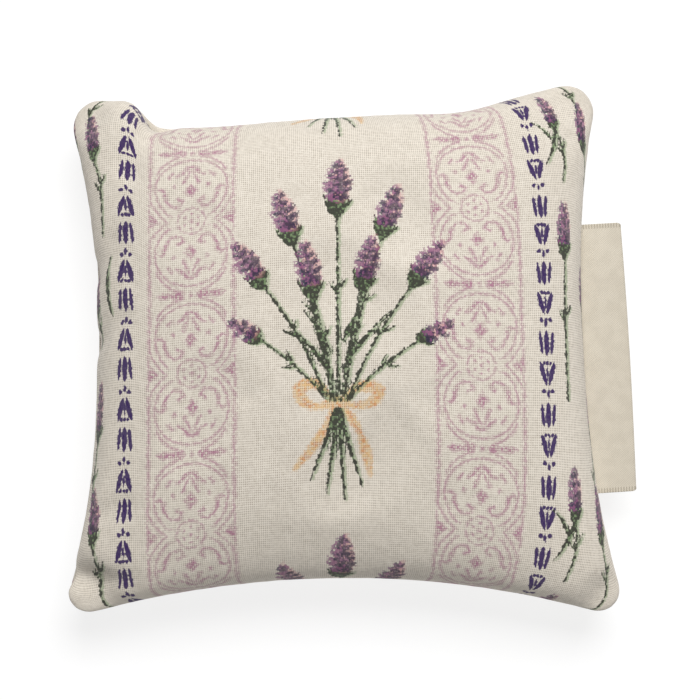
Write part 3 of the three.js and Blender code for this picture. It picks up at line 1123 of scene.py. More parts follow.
def inflate(pillow):
    """Simulates the two sewn panels as the filling presses them out; gives both grids of points."""
    start = crowned_panels(pillow)
    mesh = mesh_of(two_panels(pillow.cells), "sewn_panels")
    place = read(mesh, "place", np.int32)
    mesh.vertices.foreach_set("co", start[place].ravel())
    sewn = put_in_scene("sewn_panels", mesh)
    mesh.calc_loop_triangles()
    triangles = numbers(mesh.loop_triangles, "vertices", 3, np.int32)
    volume = mesh_volume(start[place], triangles) * pillow.volume_share
    result = np.zeros_like(start)
    result[place] = settle(pillow, sewn, volume) / SIM_SCALE
    discard(sewn)
    _, _, rim = grid_shares(pillow.cells)
    front, back = result.reshape(2, *rim.shape, 3)
    back[rim] = front[rim]
    return front, back


def spread_inwards(edge_values, u, v, power=2.0):
    """Carries values on the four edges into the panel, fading with the distance from each edge."""
    right, left = ((1 + u) / 2) ** power, ((1 - u) / 2) ** power
    top, low = ((1 + v) / 2) ** power, ((1 - v) / 2) ** power
    left, right, top, low = (weight[..., None] for weight in (left, right, top, low))
    rows = left * edge_values[:, :1] + right * edge_values[:, -1:]
    columns = low * edge_values[:1] + top * edge_values[-1:]
    ends = (
        left * low * edge_values[0, 0]
        + right * low * edge_values[0, -1]
        + left * top * edge_values[-1, 0]
        + right * top * edge_values[-1, -1]
    )
    return rows + columns - ends


def smooth_floor(height, soft):
    """Keeps a height from going below 0, with a soft turn."""
    turned = height + (soft - height) ** 2 / (4 * soft)
    return np.where(height > soft, height, np.where(height < -soft, 0.0, turned))


def smooth_step(value, low, high):
    """0 below low and 1 above high, with a soft turn at both."""
    share = np.clip((value - low) / (high - low), 0, 1)
    return share * share * (3 - 2 * share)


# The least length that a direction is divided by
TINY = 1e-12


def normals_of(points, side):
    """Outward directions of a panel's grid."""
    normal = np.cross(np.gradient(points, axis=1), np.gradient(points, axis=0)) * side
    return normal / np.maximum(np.linalg.norm(normal, axis=2, keepdims=True), TINY)


# Creases of the front, in millimetres: start, end, half width, depth
CREASES = (
    ((-37.0, 44.5), (-42.5, 36.0), 2.6, 1.5),
    ((41.0, 47.0), (45.0, 42.0), 2.4, 1.2),
    ((-50.0, 14.0), (-45.5, 21.0), 1.6, 0.8),
    ((-50.0, 0.0), (-44.0, 6.5), 1.7, 0.9),
    ((-48.5, -33.0), (-43.0, -31.0), 1.8, 0.7),
    ((-54.0, -45.5), (-43.5, -46.2), 1.8, 1.1),
)

# Flat ears of the corners: which corner, how far each reaches in and its height, in millimetres,
# then the share of the reach that is wholly flat
EARS = ((-1, -1, 16.0, 2.4), (1, -1, 13.0, 3.2), (-1, 1, 12.0, 3.4), (1, 1, 13.0, 3.4))
EAR_FLAT = 0.62


def flatten_ears(pillow, x, y, height):
    """Lets the filling run out towards the corners, so that their ears lie flat."""
    for side, end, reach, level in EARS:
        tip_x, tip_y = corners(pillow)[side, end]
        distance = np.hypot(x - tip_x, y - tip_y) / MM
        weight = 1 - smooth_step(distance, EAR_FLAT * reach, reach)
        flat = level * MM * (1 - np.exp(-height / (level * MM)))
        height = height + (flat - height) * weight
    return height


def crease(points, normal):
    """Presses the listed creases into a grid of points."""
    x, y = points[..., 0] / MM, points[..., 1] / MM
    depth = np.zeros_like(x)
    for start, end, half, deep in CREASES:
        line = np.subtract(end, start)
        share = ((x - start[0]) * line[0] + (y - start[1]) * line[1]) / (line @ line)
        held = np.clip(share, 0, 1)
        distance = np.hypot(x - start[0] - held * line[0], y - start[1] - held * line[1])
        depth += deep * np.exp(-((distance / half) ** 2))
    return points - normal * (depth * MM)[..., None]


# Around the label: how far past its edges the seam stays open, and closes in as much again, how close
# to the right side that stays, and the play above and below the tape
OPENING_PAST = 0.005
OPENING_POWER = 8
OPENING_PLAY = 0.0003

# How much of the seam's rise and fall is left after sewing, and the soft turn onto the table
SEAM_WAVE = 0.5
REST_TURN = 0.0006


def label_opening(pillow, label, u, v):
    """From 0 to 1: how far the seam is open for the label at a place of the panel."""
    _, y = seam_plan(pillow, u, v)
    past = np.abs(y - label.middle) - label.length / 2 - OPENING_PAST
    return np.maximum(u, 0) ** OPENING_POWER * (1 - smooth_step(past, 0, OPENING_PAST))


def shape_panels(pillow, label):
    """Both panels' outer surfaces as grids, fitted to the seam's outline, the rest face and the creases,
    then the seam's height and half its gap."""
    front, back = inflate(pillow)
    u, v, rim = grid_shares(pillow.cells)
    shift = spread_inwards(np.stack(seam_plan(pillow, u, v), 2) - front[..., :2], u, v)
    level = front[..., 2][rim].mean()
    wave = spread_inwards(front[..., 2:] - level, u, v, 1.0)[..., 0]
    open_share = label_opening(pillow, label, u, v)
    half_stack = (2 * label.thickness + label.layer_gap) / 2
    half_gap = pillow.seam_gap / 2 + open_share * (half_stack + OPENING_PLAY - pillow.seam_gap / 2)
    seam = SEAM_HEIGHT + wave * (SEAM_WAVE * (1 - open_share))
    for points, side, reach in ((front, 1, pillow.rise), (back, -1, pillow.drop)):
        points[..., :2] += shift
        height = (points[..., 2] - level - wave) * side
        height *= (reach - pillow.fold) / height.max()
        height = flatten_ears(pillow, points[..., 0], points[..., 1], height)
        points[..., 2] = seam + side * (height + half_gap + pillow.fold)
    back[..., 2] = smooth_floor(back[..., 2], REST_TURN)
    return crease(front, normals_of(front, 1)), back, seam, half_gap


def fine_surface(points, values, levels):
    """A smooth fine mesh through a grid of points, carrying the given values on its points."""
    bm = bmesh.new()
    add_grid(bm, points)
    mesh = mesh_of(bm, "panel")
    for name, value in values.items():
        store(mesh, name, value.ravel())
    panel = put_in_scene("panel", mesh)
    finer = panel.modifiers.new("Subdivision", "SUBSURF")
    finer.levels = finer.render_levels = levels
    fine = bpy.data.meshes.new_from_object(panel.evaluated_get(bpy.context.evaluated_depsgraph_get()))
    discard(panel)
    return fine


# Small lumps of the buds under the cloth: how close they lie, a value that sets their places, and their
# share of the height, for the larger and the smaller ones
BUD_LUMPS = ((16, 5.0, 0.55), (33, 9.0, 0.3))
LUMP_HEIGHT = 0.00016
LUMP_FREE_EDGE = 0.08
LUMP_FREE_FLOOR = 0.001


def press_lumps(fine, side):
    """Lets the buds show through the cloth as small lumps, except near the seam and the table."""
    place = numbers(fine.vertices, "co", 3)
    normal = numbers(fine.vertex_normals, "vector", 3)
    if normal[len(normal) // 2, 2] * side < 0:
        normal = -normal
    share_u, share_v = read(fine, "share_u"), read(fine, "share_v")
    lumps = np.array([
        sum(noise.noise(Vector((a * close, b * close, start))) * part for close, start, part in BUD_LUMPS)
        for a, b in zip(share_u, share_v)
    ])
    calm = np.clip((1 - np.maximum(np.abs(share_u), np.abs(share_v))) / LUMP_FREE_EDGE, 0, 1)
    off_floor = np.clip(place[:, 2] / LUMP_FREE_FLOOR, 0, 1) if side < 0 else 1.0
    place = place + normal * (lumps * calm * off_floor * LUMP_HEIGHT)[:, None]
    fine.vertices.foreach_set("co", place.ravel())


# Section of the folded edge: inset from the outline and height above the seam's gap, both in
# shares of the fold's height, then the inset of its last turn and the same pair for the inner side's rim
FOLD_SHARES = ((0.02, 0.66), (0.1, 0.34), (0.3, 0.1), (0.6, 0.0))
FOLD_TURN = 0.75
INNER_RIM = (0.42, 0.72)

# Values kept on a panel's points while it is built
PANEL_VALUES = ("share_u", "share_v", "outline_x", "outline_y", "seam_z", "half_gap")

# Kinds of face: the turned-in edge and the inner side of the cloth
TURNED_IN = 1
INNER = 2


def turn_in(bm, pillow, side):
    """Folds the panel's edge in along its whole rim; gives the edges that the fold ends with."""
    layers = bm.verts.layers.float
    at_u, at_v, at_x, at_y, at_z, at_gap = (layers[name] for name in PANEL_VALUES)
    inset_layer = layers.new("inset")
    kind = bm.faces.layers.int.new("kind")
    profile = [(inset * pillow.fold, height * pillow.fold) for inset, height in FOLD_SHARES]
    profile += [(pillow.allowance / 2, 0.0), (pillow.allowance, 0.0), (pillow.allowance, pillow.cloth)]
    profile += [(pillow.allowance / 2, pillow.cloth), (pillow.fold * FOLD_TURN, pillow.cloth)]
    rim = [edge for edge in bm.edges if edge.is_boundary]
    for inset, height in profile:
        made = bmesh.ops.extrude_edge_only(bm, edges=rim)["geom"]
        rim = [edge for edge in only(made, bmesh.types.BMEdge) if edge.is_boundary]
        for vert in only(made, bmesh.types.BMVert):
            vert.co.x = vert[at_x] - vert[at_u] * inset
            vert.co.y = vert[at_y] - vert[at_v] * inset
            vert.co.z = vert[at_z] + side * (vert[at_gap] + height)
            vert[inset_layer] = inset
        for face in only(made, bmesh.types.BMFace):
            face[kind] = TURNED_IN
    return rim


def add_inner_side(bm, pillow, points, values, side, rim):
    """Adds the inner side of the cloth and joins it to the end of the fold."""
    share_u, share_v, outline_x, outline_y, seam, half_gap = (values[name] for name in PANEL_VALUES)
    inset, height = (share * pillow.fold for share in INNER_RIM)
    inner_rim = [outline_x - share_u * inset, outline_y - share_v * inset, seam + side * (half_gap + height)]
    on_rim = grid_shares(pillow.cells)[2]
    inner = points - normals_of(points, side) * pillow.cloth
    inner[on_rim] = np.stack(inner_rim, 2)[on_rim]
    verts, faces = add_grid(bm, inner)
    at_u, at_v = bm.verts.layers.float["share_u"], bm.verts.layers.float["share_v"]
    for vert, u, v in zip(verts, share_u.flat, share_v.flat):
        vert[at_u], vert[at_v] = u, v
    if side > 0:
        bmesh.ops.reverse_faces(bm, faces=faces)
    inner_verts = set(verts)
    inner_edges = [edge for edge in bm.edges if edge.is_boundary and edge.verts[0] in inner_verts]
    bridge = bmesh.ops.bridge_loops(bm, edges=rim + inner_edges)["faces"]
    kind = bm.faces.layers.int["kind"]
    for face in [*faces, *bridge]:
        face[kind] = INNER


def build_panel(name, pillow, points, seam, half_gap, side, shift):
    """One cotton panel as a closed thin shell with its edges turned in."""
    u, v, _ = grid_shares(pillow.cells)
    values = dict(zip(PANEL_VALUES, (u, v, points[..., 0], points[..., 1], seam, half_gap)))
    fine = fine_surface(points, values, 2)
    press_lumps(fine, side)
    bm = bmesh.new()
    bm.from_mesh(fine)
    bpy.data.meshes.remove(fine)
    if side < 0:
        bmesh.ops.reverse_faces(bm, faces=bm.faces[:])
    rim = turn_in(bm, pillow, side)
    add_inner_side(bm, pillow, points, values, side, rim)
    face_outwards(bm)
    bm.normal_update()
    mesh = mesh_of(bm, name)
    lay_maps(mesh, side, shift)
    for layer in (*PANEL_VALUES, "inset", "kind"):
        mesh.attributes.remove(mesh.attributes[layer])
    return put_in_scene(name, mesh)


def lay_maps(mesh, side, shift):
    """Lays the cloth's map, the bake's map and the print's layers on a panel."""
    share_u, share_v = read(mesh, "share_u"), read(mesh, "share_v")
    out = read(mesh, "inset") / MM
    half_width, half_height = FLAT_WIDTH / 2 / MM, FLAT_HEIGHT / 2 / MM
    flat_x = share_u * (half_width + out)
    flat_y = share_v * (half_height + out)
    print_x, print_y = flat_x, flat_y
    if side > 0:
        pull_x, pull_y = print_pull(share_u, share_v)
        print_x, print_y = flat_x + pull_x, flat_y + pull_y
    for layer, value in print_layers(print_x + shift[0], print_y + shift[1]).items():
        store(mesh, layer, value)
    vertex = numbers(mesh.loops, "vertex_index", 1, np.int32)
    face_corners = numbers(mesh.polygons, "loop_total", 1, np.int32)
    inner = np.repeat(read(mesh, "kind", np.int32) == INNER, face_corners)
    low = np.where(inner, BAKE_INNER, BAKE_LOW)
    span = np.where(inner, BAKE_INNER_SPAN, BAKE_SPAN)
    bake_x = low + span * (0.5 + 0.5 * flat_x / half_width)[vertex]
    bake_y = low + span * (0.5 + 0.5 * flat_y / half_height)[vertex]
    for name, x, y in (("cloth", print_x[vertex], print_y[vertex]), ("OFBake", bake_x, bake_y)):
        places = np.stack([x, y], 1).astype(np.float32)
        mesh.uv_layers.new(name=name).uv.foreach_set("vector", places.ravel())


def closed_sheet(name, outer, inner, fill_maps):
    """A closed thin solid between two grids of points; fill_maps gives each corner's maps."""
    bm = bmesh.new()
    number = bm.verts.layers.int.new("number")
    maps = {key: bm.loops.layers.uv.new(key) for key in ("cloth", "OFBake")}
    sides = [add_grid(bm, grid) for grid in (outer, inner)]
    for verts, _ in sides:
        for index, vert in enumerate(verts):
            vert[number] = index
    inner_faces = set(sides[1][1])
    bmesh.ops.reverse_faces(bm, faces=sides[1][1])
    bmesh.ops.bridge_loops(bm, edges=[edge for edge in bm.edges if edge.is_boundary])
    for face in bm.faces:
        for loop in face.loops:
            for key, place in fill_maps(loop.vert[number], face in inner_faces).items():
                loop[maps[key]].uv = place
    face_outwards(bm)
    mesh = mesh_of(bm, name)
    mesh.attributes.remove(mesh.attributes["number"])
    return put_in_scene(name, mesh)


# Tape: places that its seam is measured at, cells in each rib, rows in each ribbed edge and in the
# middle, the depth of a rib and the share of the ribbed edge in which the ribs fade in
SEAM_SAMPLES = 201
RIB_CELLS = 5
RIB_ROWS = 6
TAPE_ROWS = 44
RIB_DEPTH = 0.00005
RIB_FADE = 0.25

# How the tape's edges draw in near its fold, how far its two layers part, how it sways along the seam and
# droops from it, and how far its fold bulges
TUCK_EDGE = 0.0009
TUCK_START = 0.0007
TUCK_RUN = 0.0012
TUCK = 0.0005
PART = 0.0005
PART_SCALE = (70, 60, 0.6)
PART_LEVEL = 0.25
TAPE_SWAY = 0.00035
TAPE_SWAY_TURN = 75
TAPE_SWAY_START = 0.6
TAPE_DROOP = 0.0008
TAPE_BULGE = 0.0003

# The two uses of the bake's map: the outer and the inner side of the tape
TAPE_BAKE_X = (0.25, 0.75)
TAPE_BAKE_SPAN_X = 0.22
TAPE_BAKE_SPAN_Y = 0.94


def tape_shares(label):
    """Places across and along the unfolded tape: even along the fold's run, finer in the ribbed edges."""
    across = np.linspace(-1, 1, RIB_CELLS * round(2 * (label.shown + label.root) / label.rib_pitch) + 1)
    half = label.length / 2
    rib = np.linspace(0, label.rib_width, RIB_ROWS + 1)
    middle = np.linspace(label.rib_width - half, half - label.rib_width, TAPE_ROWS + 1)
    along = np.concatenate([rib[:-1] - half, middle, half - rib[-2::-1]])
    return np.meshgrid(across, along)


def folded_section(label, run, raised):
    """Section of the folded tape at a distance from its middle layer: out from the seam, and up."""
    radius = (label.thickness + label.layer_gap) / 2
    fold_x = label.shown - radius - label.thickness / 2
    turn = math.pi * radius / 2
    along_run = run * (fold_x + label.root + turn)
    past = np.clip(along_run / turn, -1, 1) * math.pi / 2
    flat = np.maximum(np.abs(along_run) - turn, 0)
    reach = radius + raised
    x = np.where(flat > 0, fold_x - flat, fold_x - flat + reach * np.cos(past))
    return x, -reach * np.sin(past), fold_x


def tape_surface(label, pillow, run, along, raised):
    """The folded tape at a distance from its middle layer; run goes from one cut end to the other."""
    x, z, fold_x = folded_section(label, run, raised)
    half = label.length / 2
    edge = np.clip((np.abs(along) - (half - TUCK_EDGE)) / TUCK_EDGE, 0, 1)
    tuck = edge ** 2 * np.clip((x - fold_x + TUCK_START) / TUCK_RUN, 0, 1) ** 3
    y = along * (1 - TUCK / half * tuck)
    from_seam = np.clip(x / label.shown, 0, 1)
    spots = zip(x.flat, along.flat, np.sign(z).flat)
    part = np.array([noise.noise(Vector(np.multiply(spot, PART_SCALE))) for spot in spots]).reshape(x.shape)
    z = z + np.sign(z) * np.maximum(part + PART_LEVEL, 0) * PART * from_seam * (1 - from_seam) * 4
    sway = np.sin(along * TAPE_SWAY_TURN + TAPE_SWAY_START) * TAPE_SWAY - TAPE_DROOP
    x = x + TAPE_BULGE * (1 - (along / half) ** 2) * from_seam
    top, low = (right_seam(pillow, label.middle + end * half) for end in (1, -1))
    tilt = math.atan2(low - top, label.length)
    place_x = right_seam(pillow, label.middle) + x * math.cos(tilt) - y * math.sin(tilt)
    place_y = label.middle + x * math.sin(tilt) + y * math.cos(tilt)
    return np.stack([place_x, place_y, SEAM_HEIGHT + z + sway * from_seam ** 2], 2)


def right_seam(pillow, y):
    """Where the right seam lies at a height y of the plan."""
    line = np.linspace(-1, 1, SEAM_SAMPLES)
    seam_x, seam_y = seam_plan(pillow, np.ones_like(line), line)
    return float(np.interp(y, seam_y, seam_x))


def tape_material(label):
    """Woven satin tape: fine slanting lines, ribbed edges and a soft sheen."""
    material, nodes = plain_material("woven satin tape")
    x, y = nodes.map("cloth")
    line = sine_wave((x * 1.15 + y) / 0.47)
    cross = sine_wave((x * 0.9 - y * 1.2) / 0.62)
    soft = nodes.noise(nodes.vector(x, y), 0.35, 2.0)
    half, rib_width = label.length / 2 / MM, label.rib_width / MM
    in_rib = nodes.ramp(abs(y), half - rib_width, half - 0.9 * rib_width)
    rib = (x / (label.rib_pitch / MM) * (2 * math.pi)).maths("COSINE") * 0.5 + 0.5
    height = line * 0.7 + cross * 0.3
    colour = nodes.mix(nodes.ramp(height, 0.1, 0.5) * 0.4 + 0.6, label.tape_shadow, label.tape)
    colour = nodes.mix(nodes.ramp(soft, 0.3, 0.7) * 0.13, colour, label.tape_shadow)
    colour = nodes.mix(in_rib * (1.0 - rib) ** 2 * 0.7, colour, label.tape_shadow)
    rough = 0.5 + 0.14 * (1.0 - height)
    nodes.finish(colour, rough, height, 0.00003, 0.7, **{"Sheen Weight": 0.2, "Sheen Roughness": 0.4})
    return material


class SACHET_OT_label(bpy.types.Operator):
    """Folds the bare woven tape and catches it in the right seam"""

    bl_idname = "sachet.label"
    bl_label = "Tape label"

    def execute(self, context):
        scene = context.scene
        pillow, label = scene.sachet_pillow, scene.sachet_label
        run, along = tape_shares(label)
        half_run = label.shown + label.root
        from_rib = np.abs(along) - label.length / 2 + label.rib_width
        in_rib = np.clip(from_rib / (RIB_FADE * label.rib_width), 0, 1)
        ribs = np.cos(2 * math.pi * run * half_run / label.rib_pitch) * RIB_DEPTH * in_rib
        half = label.thickness / 2
        outer = tape_surface(label, pillow, run, along, half + ribs)
        inner = tape_surface(label, pillow, run, along, -half + ribs)

        def maps(number, inside):
            across, up = run.flat[number], along.flat[number]
            bake_x = TAPE_BAKE_X[inside] + TAPE_BAKE_SPAN_X * across
            bake_y = 0.5 + TAPE_BAKE_SPAN_Y * up / label.length
            return {"cloth": (across * half_run / MM, up / MM), "OFBake": (bake_x, bake_y)}

        tape = closed_sheet("tape_label", outer, inner, maps)
        hand_over(tape, tape_material(label), "label")
        return {"FINISHED"}


# Sewing threads: points in each machine stitch, how soon a stitch dips through the cloth, how far the
# closing seam runs past its opening, and the distance between its points
STITCH_POINTS = 9
STITCH_DIP = 0.1
CLOSING_PAST = 0.002
CLOSING_STEP = 0.00025
CLOSING_STEEP = 3
THREAD_SIDES = 8
MERGE = 1e-7


def rim_walk(grid):
    """Values along the edge of a panel's grid, once round from its lower left corner."""
    return np.concatenate([grid[0, :-1], grid[:-1, -1], grid[-1, :0:-1], grid[:0:-1, 0]])


def even_path(points, step):
    """The same path with points a step apart, and the distance to each from its start."""
    lengths = np.concatenate([[0], np.cumsum(np.linalg.norm(np.diff(points, axis=0), axis=1))])
    run = np.linspace(0, lengths[-1], round(lengths[-1] / step) + 1)
    return np.stack([np.interp(run, lengths, points[:, axis]) for axis in range(3)], 1), run


def thread_tube(name, points, run, radius):
    """A closed round thread with rounded ends along a path."""
    tangent = np.gradient(points, axis=0)
    tangent /= np.linalg.norm(tangent, axis=1, keepdims=True)
    across = np.cross(tangent, (0.0, 0.0, 1.0))
    across /= np.linalg.norm(across, axis=1, keepdims=True)
    upward = np.cross(across, tangent)
    radii = radius * np.sqrt(np.clip(np.minimum(run, run[-1] - run) / radius, 0, 1))
    turns = np.linspace(0, 1, THREAD_SIDES + 1)
    angle = (turns * 2 * math.pi)[:, None]
    away = across[:, None] * np.cos(angle) + upward[:, None] * np.sin(angle)
    bm = bmesh.new()
    verts, _ = add_grid(bm, points[:, None] + away * radii[:, None, None])
    uv = bm.loops.layers.uv.new("thread")
    for index, vert in enumerate(verts):
        row, column = divmod(index, THREAD_SIDES + 1)
        for loop in vert.link_loops:
            loop[uv].uv = (run[row] / MM, turns[column])
    bmesh.ops.remove_doubles(bm, verts=bm.verts[:], dist=MERGE)
    bmesh.ops.recalc_face_normals(bm, faces=bm.faces[:])
    return put_in_scene(name, mesh_of(bm, name))


def thread_material(inside):
    """Spun cotton sewing thread: plies that wind round it, with painted shade in the grooves between them."""
    material, nodes = plain_material("cotton sewing thread")
    run, turn = nodes.map("thread")
    ply = sine_wave(run / 0.55 + turn * 3.0)
    fuzz = nodes.noise(nodes.vector(run * 2.0, turn * 3.0), 2.0, 2.0)
    # Painted shade: the grooves between the plies get the thread's colour darkened
    dark = tuple(channel * 0.55 for channel in inside.cotton)
    colour = nodes.mix(nodes.ramp(ply, 0.0, 0.5) * (0.75 + 0.25 * fuzz), dark, inside.cotton)
    nodes.finish(colour, 0.7 + 0.15 * fuzz, ply, 0.00004, 0.9, **{"Sheen Weight": 0.2})
    return material


def machine_seam(pillow, inside, shape, side):
    """Path of a machine thread round the pillow, from one end of the opening to the other."""
    front, _, seam, half_gap = shape
    u, v, _ = grid_shares(pillow.cells)
    x = rim_walk(front[..., 0]) - rim_walk(u) * inside.stitch_inset
    y = rim_walk(front[..., 1]) - rim_walk(v) * inside.stitch_inset
    z = rim_walk(seam) + side * (rim_walk(half_gap) + pillow.cloth + inside.thread / 2)
    in_opening = (rim_walk(v) == -1) & (np.abs(x) < inside.opening / 2)
    start = int(np.flatnonzero(in_opening)[-1]) + 1
    keep = np.roll(~in_opening, -start)
    path = np.roll(np.stack([x, y, z], 1), -start, 0)[keep]
    path, run = even_path(path, inside.stitch / STITCH_POINTS)
    dip = np.exp(-((((run / inside.stitch) % 1 - 0.5) / STITCH_DIP) ** 2))
    path[:, 2] -= side * dip * (pillow.cloth + pillow.seam_gap / 2)
    return path, run


def closing_seam(pillow, inside, shape):
    """Path of the closing thread, which climbs from one folded edge to the other and back."""
    front, _, seam, _ = shape
    half = inside.opening / 2 + CLOSING_PAST
    x = np.arange(-half, half, CLOSING_STEP)
    zigzag = np.clip(np.sin(x / inside.closing_stitch * math.pi) * CLOSING_STEEP, -1, 1) * pillow.fold / 2
    y = np.interp(x, front[0, :, 0], front[0, :, 1]) + inside.stitch_inset + zigzag
    z = np.interp(x, front[0, :, 0], seam[0])
    return even_path(np.stack([x, y, z], 1), CLOSING_STEP)


class SACHET_OT_threads(bpy.types.Operator):
    """Sews the machine seam and the closing seam"""

    bl_idname = "sachet.threads"
    bl_label = "Sewing threads"

    def execute(self, context):
        scene = context.scene
        pillow, inside = scene.sachet_pillow, scene.sachet_inside
        shape = shaped_panels(scene)
        material = thread_material(inside)
        for name, node, path in (
            ("needle_stitches", "needle_thread", machine_seam(pillow, inside, shape, 1)),
            ("bobbin_stitches", "bobbin_thread", machine_seam(pillow, inside, shape, -1)),
            ("closing_stitches", "closing_thread", closing_seam(pillow, inside, shape)),
        ):
            thread = thread_tube(name, *path, inside.thread / 2)
            hand_over(thread, material, node)
        return {"FINISHED"}


# Dried buds: their ribs, how much wider a rib is than a furrow, and how they swell towards the open tip
BUD_RIBS = 8
BUD_RINGS = 6
RIB_OUT = 1.12
FURROW_OUT = 0.84
BUD_FOOT = 0.72
BUD_SWELL = 0.5
TIP_SHARE = 0.98
TIP_DEPTH = 0.16

# Filling: cells and reach of its closed core, the edge that buds keep clear of, in cells, how near its
# vertices are joined, then how far a bud's middle lies above it, in widths, and its lean and sizes
FILL_CELLS = 34
FILL_REACH = 0.86
FILL_EDGE = 1.2
CORE_MERGE = 1e-6
BUD_LIFT = 0.3
BUD_LEAN = 0.5
BUD_SIZES = (0.75, 1.1)


def rib_at(across, up):
    """1 on a rib of a bud and 0 in a furrow, at a direction from its axis."""
    return round(math.atan2(up, across) / (2 * math.pi / BUD_RIBS)) % 2


def dried_bud(inside):
    """One dried bud along X: a ribbed calyx, narrow at its foot and open at its tip."""
    bm = bmesh.new()
    bmesh.ops.create_uvsphere(bm, u_segments=BUD_RIBS, v_segments=BUD_RINGS, radius=0.5)
    for vert in bm.verts:
        share = vert.co.z + 0.5
        width = (RIB_OUT if rib_at(vert.co.x, vert.co.y) else FURROW_OUT) * (BUD_FOOT + BUD_SWELL * share)
        across, up = vert.co.x * width * inside.bud_width, vert.co.y * width * inside.bud_width
        sunk = TIP_DEPTH if share > TIP_SHARE else 0.0
        vert.co = ((vert.co.z - sunk) * inside.bud_length, across, up)
    mesh = mesh_of(bm, "dried_bud")
    store(mesh, "rib", [rib_at(vert.co.y, vert.co.z) for vert in mesh.vertices])
    return mesh


def fill_core(front, back, margin):
    """Two grids of points, margin under the cloth, that meet in a closed core clear of the seam."""
    line = np.linspace(-FILL_REACH, FILL_REACH, FILL_CELLS + 1)
    u, v = np.meshgrid(line, line)
    column = (u + 1) / 2 * (front.shape[1] - 1)
    row = (v + 1) / 2 * (front.shape[0] - 1)
    low_c, low_r = np.floor(column).astype(int), np.floor(row).astype(int)
    part_c, part_r = (column - low_c)[..., None], (row - low_r)[..., None]
    surfaces = []
    for points, side in ((front, 1), (back, -1)):
        sunk = points - normals_of(points, side) * margin
        low = sunk[low_r, low_c] * (1 - part_c) + sunk[low_r, low_c + 1] * part_c
        high = sunk[low_r + 1, low_c] * (1 - part_c) + sunk[low_r + 1, low_c + 1] * part_c
        surfaces.append(low * (1 - part_r) + high * part_r)
    rim = (np.abs(u) == FILL_REACH) | (np.abs(v) == FILL_REACH)
    surfaces[0][rim] = surfaces[1][rim] = (surfaces[0][rim] + surfaces[1][rim]) / 2
    return surfaces


def core_mesh(surfaces):
    """The filling's closed core, with the values that the buds' material reads."""
    bm = bmesh.new()
    bm.verts.layers.float.new("tone")
    rib = bm.verts.layers.float.new("rib")
    halves = [add_grid(bm, surface) for surface in surfaces]
    for vert in bm.verts:
        vert[rib] = 1.0
    bmesh.ops.reverse_faces(bm, faces=halves[1][1])
    bmesh.ops.remove_doubles(bm, verts=bm.verts[:], dist=CORE_MERGE)
    bmesh.ops.recalc_face_normals(bm, faces=bm.faces[:])
    return bm


def bud_place(surface, side, places, lift):
    """A random place on the core for a bud, with a random turn, lean and size."""
    row, column = places.uniform(FILL_EDGE, FILL_CELLS - FILL_EDGE, 2)
    low_row, low_column = int(row), int(column)
    corner = surface[low_row, low_column]
    along = surface[low_row + 1, low_column] - corner
    across = surface[low_row, low_column + 1] - corner
    spot = corner + along * (row - low_row) + across * (column - low_column)
    normal = Vector(np.cross(across, along) * side).normalized()
    turn = normal.to_track_quat("Z", "Y").to_matrix().to_4x4()
    spin = Matrix.Rotation(places.uniform(0, 2 * math.pi), 4, "Z")
    lean = Matrix.Rotation(places.uniform(-BUD_LEAN, BUD_LEAN), 4, "Y")
    grow = Matrix.Scale(places.uniform(*BUD_SIZES), 4)
    return Matrix.Translation(Vector(spot) + normal * lift) @ turn @ spin @ lean @ grow


def buds_material(inside):
    """Dried lavender buds: grey-violet ribbed calyxes, some darker, some straw-coloured."""
    material, nodes = plain_material("dried lavender buds")
    tone = nodes.layer("tone")
    grain = nodes.noise(nodes.place(), 900.0, 3.0, flat=False)
    colour = nodes.mix(nodes.ramp(tone, 0.1, 0.8), inside.bud_dark, inside.bud)
    colour = nodes.mix(nodes.ramp(tone, 0.9, 0.95), colour, inside.straw)
    colour = nodes.mix(nodes.ramp(nodes.layer("rib"), 0.2, 0.9) * 0.45, colour, inside.bud_dark)
    colour = nodes.mix(nodes.ramp(grain, 0.45, 0.75) * 0.35, colour, inside.straw)
    nodes.finish(colour, 0.85 + 0.1 * grain, grain, 0.00008, 0.8, **{"Sheen Weight": 0.3})
    return material


class SACHET_OT_buds(bpy.types.Operator):
    """Fills the pillow with dried lavender buds"""

    bl_idname = "sachet.buds"
    bl_label = "Bud filling"

    def execute(self, context):
        inside = context.scene.sachet_inside
        front, back, _, _ = shaped_panels(context.scene)
        surfaces = fill_core(front, back, inside.margin)
        bm = core_mesh(surfaces)
        places = np.random.default_rng(inside.seed)
        bud = dried_bud(inside)
        for index in range(inside.buds):
            surface, side = ((surfaces[0], 1), (surfaces[1], -1))[index % 2]
            place = bud_place(surface, side, places, inside.bud_width * BUD_LIFT)
            store(bud, "tone", [places.uniform()] * len(bud.vertices))
            bud.transform(place)
            bm.from_mesh(bud)
            bud.transform(place.inverted())
        bpy.data.meshes.remove(bud)
        filling = put_in_scene("lavender_buds", mesh_of(bm, "lavender_buds", smooth=False))
        hand_over(filling, buds_material(inside), "bud_fill")
        return {"FINISHED"}


SHAPED = []


def shaped_panels(scene):
    """The panels' shape, worked out once for all the pieces."""
    if not SHAPED:
        SHAPED.append(shape_panels(scene.sachet_pillow, scene.sachet_label))
    return SHAPED[0]


class SACHET_OT_panels(bpy.types.Operator):
    """Sews, fills and prints the two cotton panels"""

    bl_idname = "sachet.panels"
    bl_label = "Cotton panels"

    def execute(self, context):
        scene = context.scene
        pillow, colours = scene.sachet_pillow, scene.sachet_print
        SHAPED.clear()
        front, back, seam, half_gap = shaped_panels(scene)
        for name, node, points, side, shift in (
            ("front_cloth", "front_panel", front, 1, (0.0, 0.0)),
            ("back_cloth", "back_panel", back, -1, BACK_SHIFT),
        ):
            panel = build_panel(name, pillow, points, seam, half_gap, side, shift)
            material = cloth_material(colours, f"printed cotton {name}", shift)
            hand_over(panel, material, node)
        return {"FINISHED"}


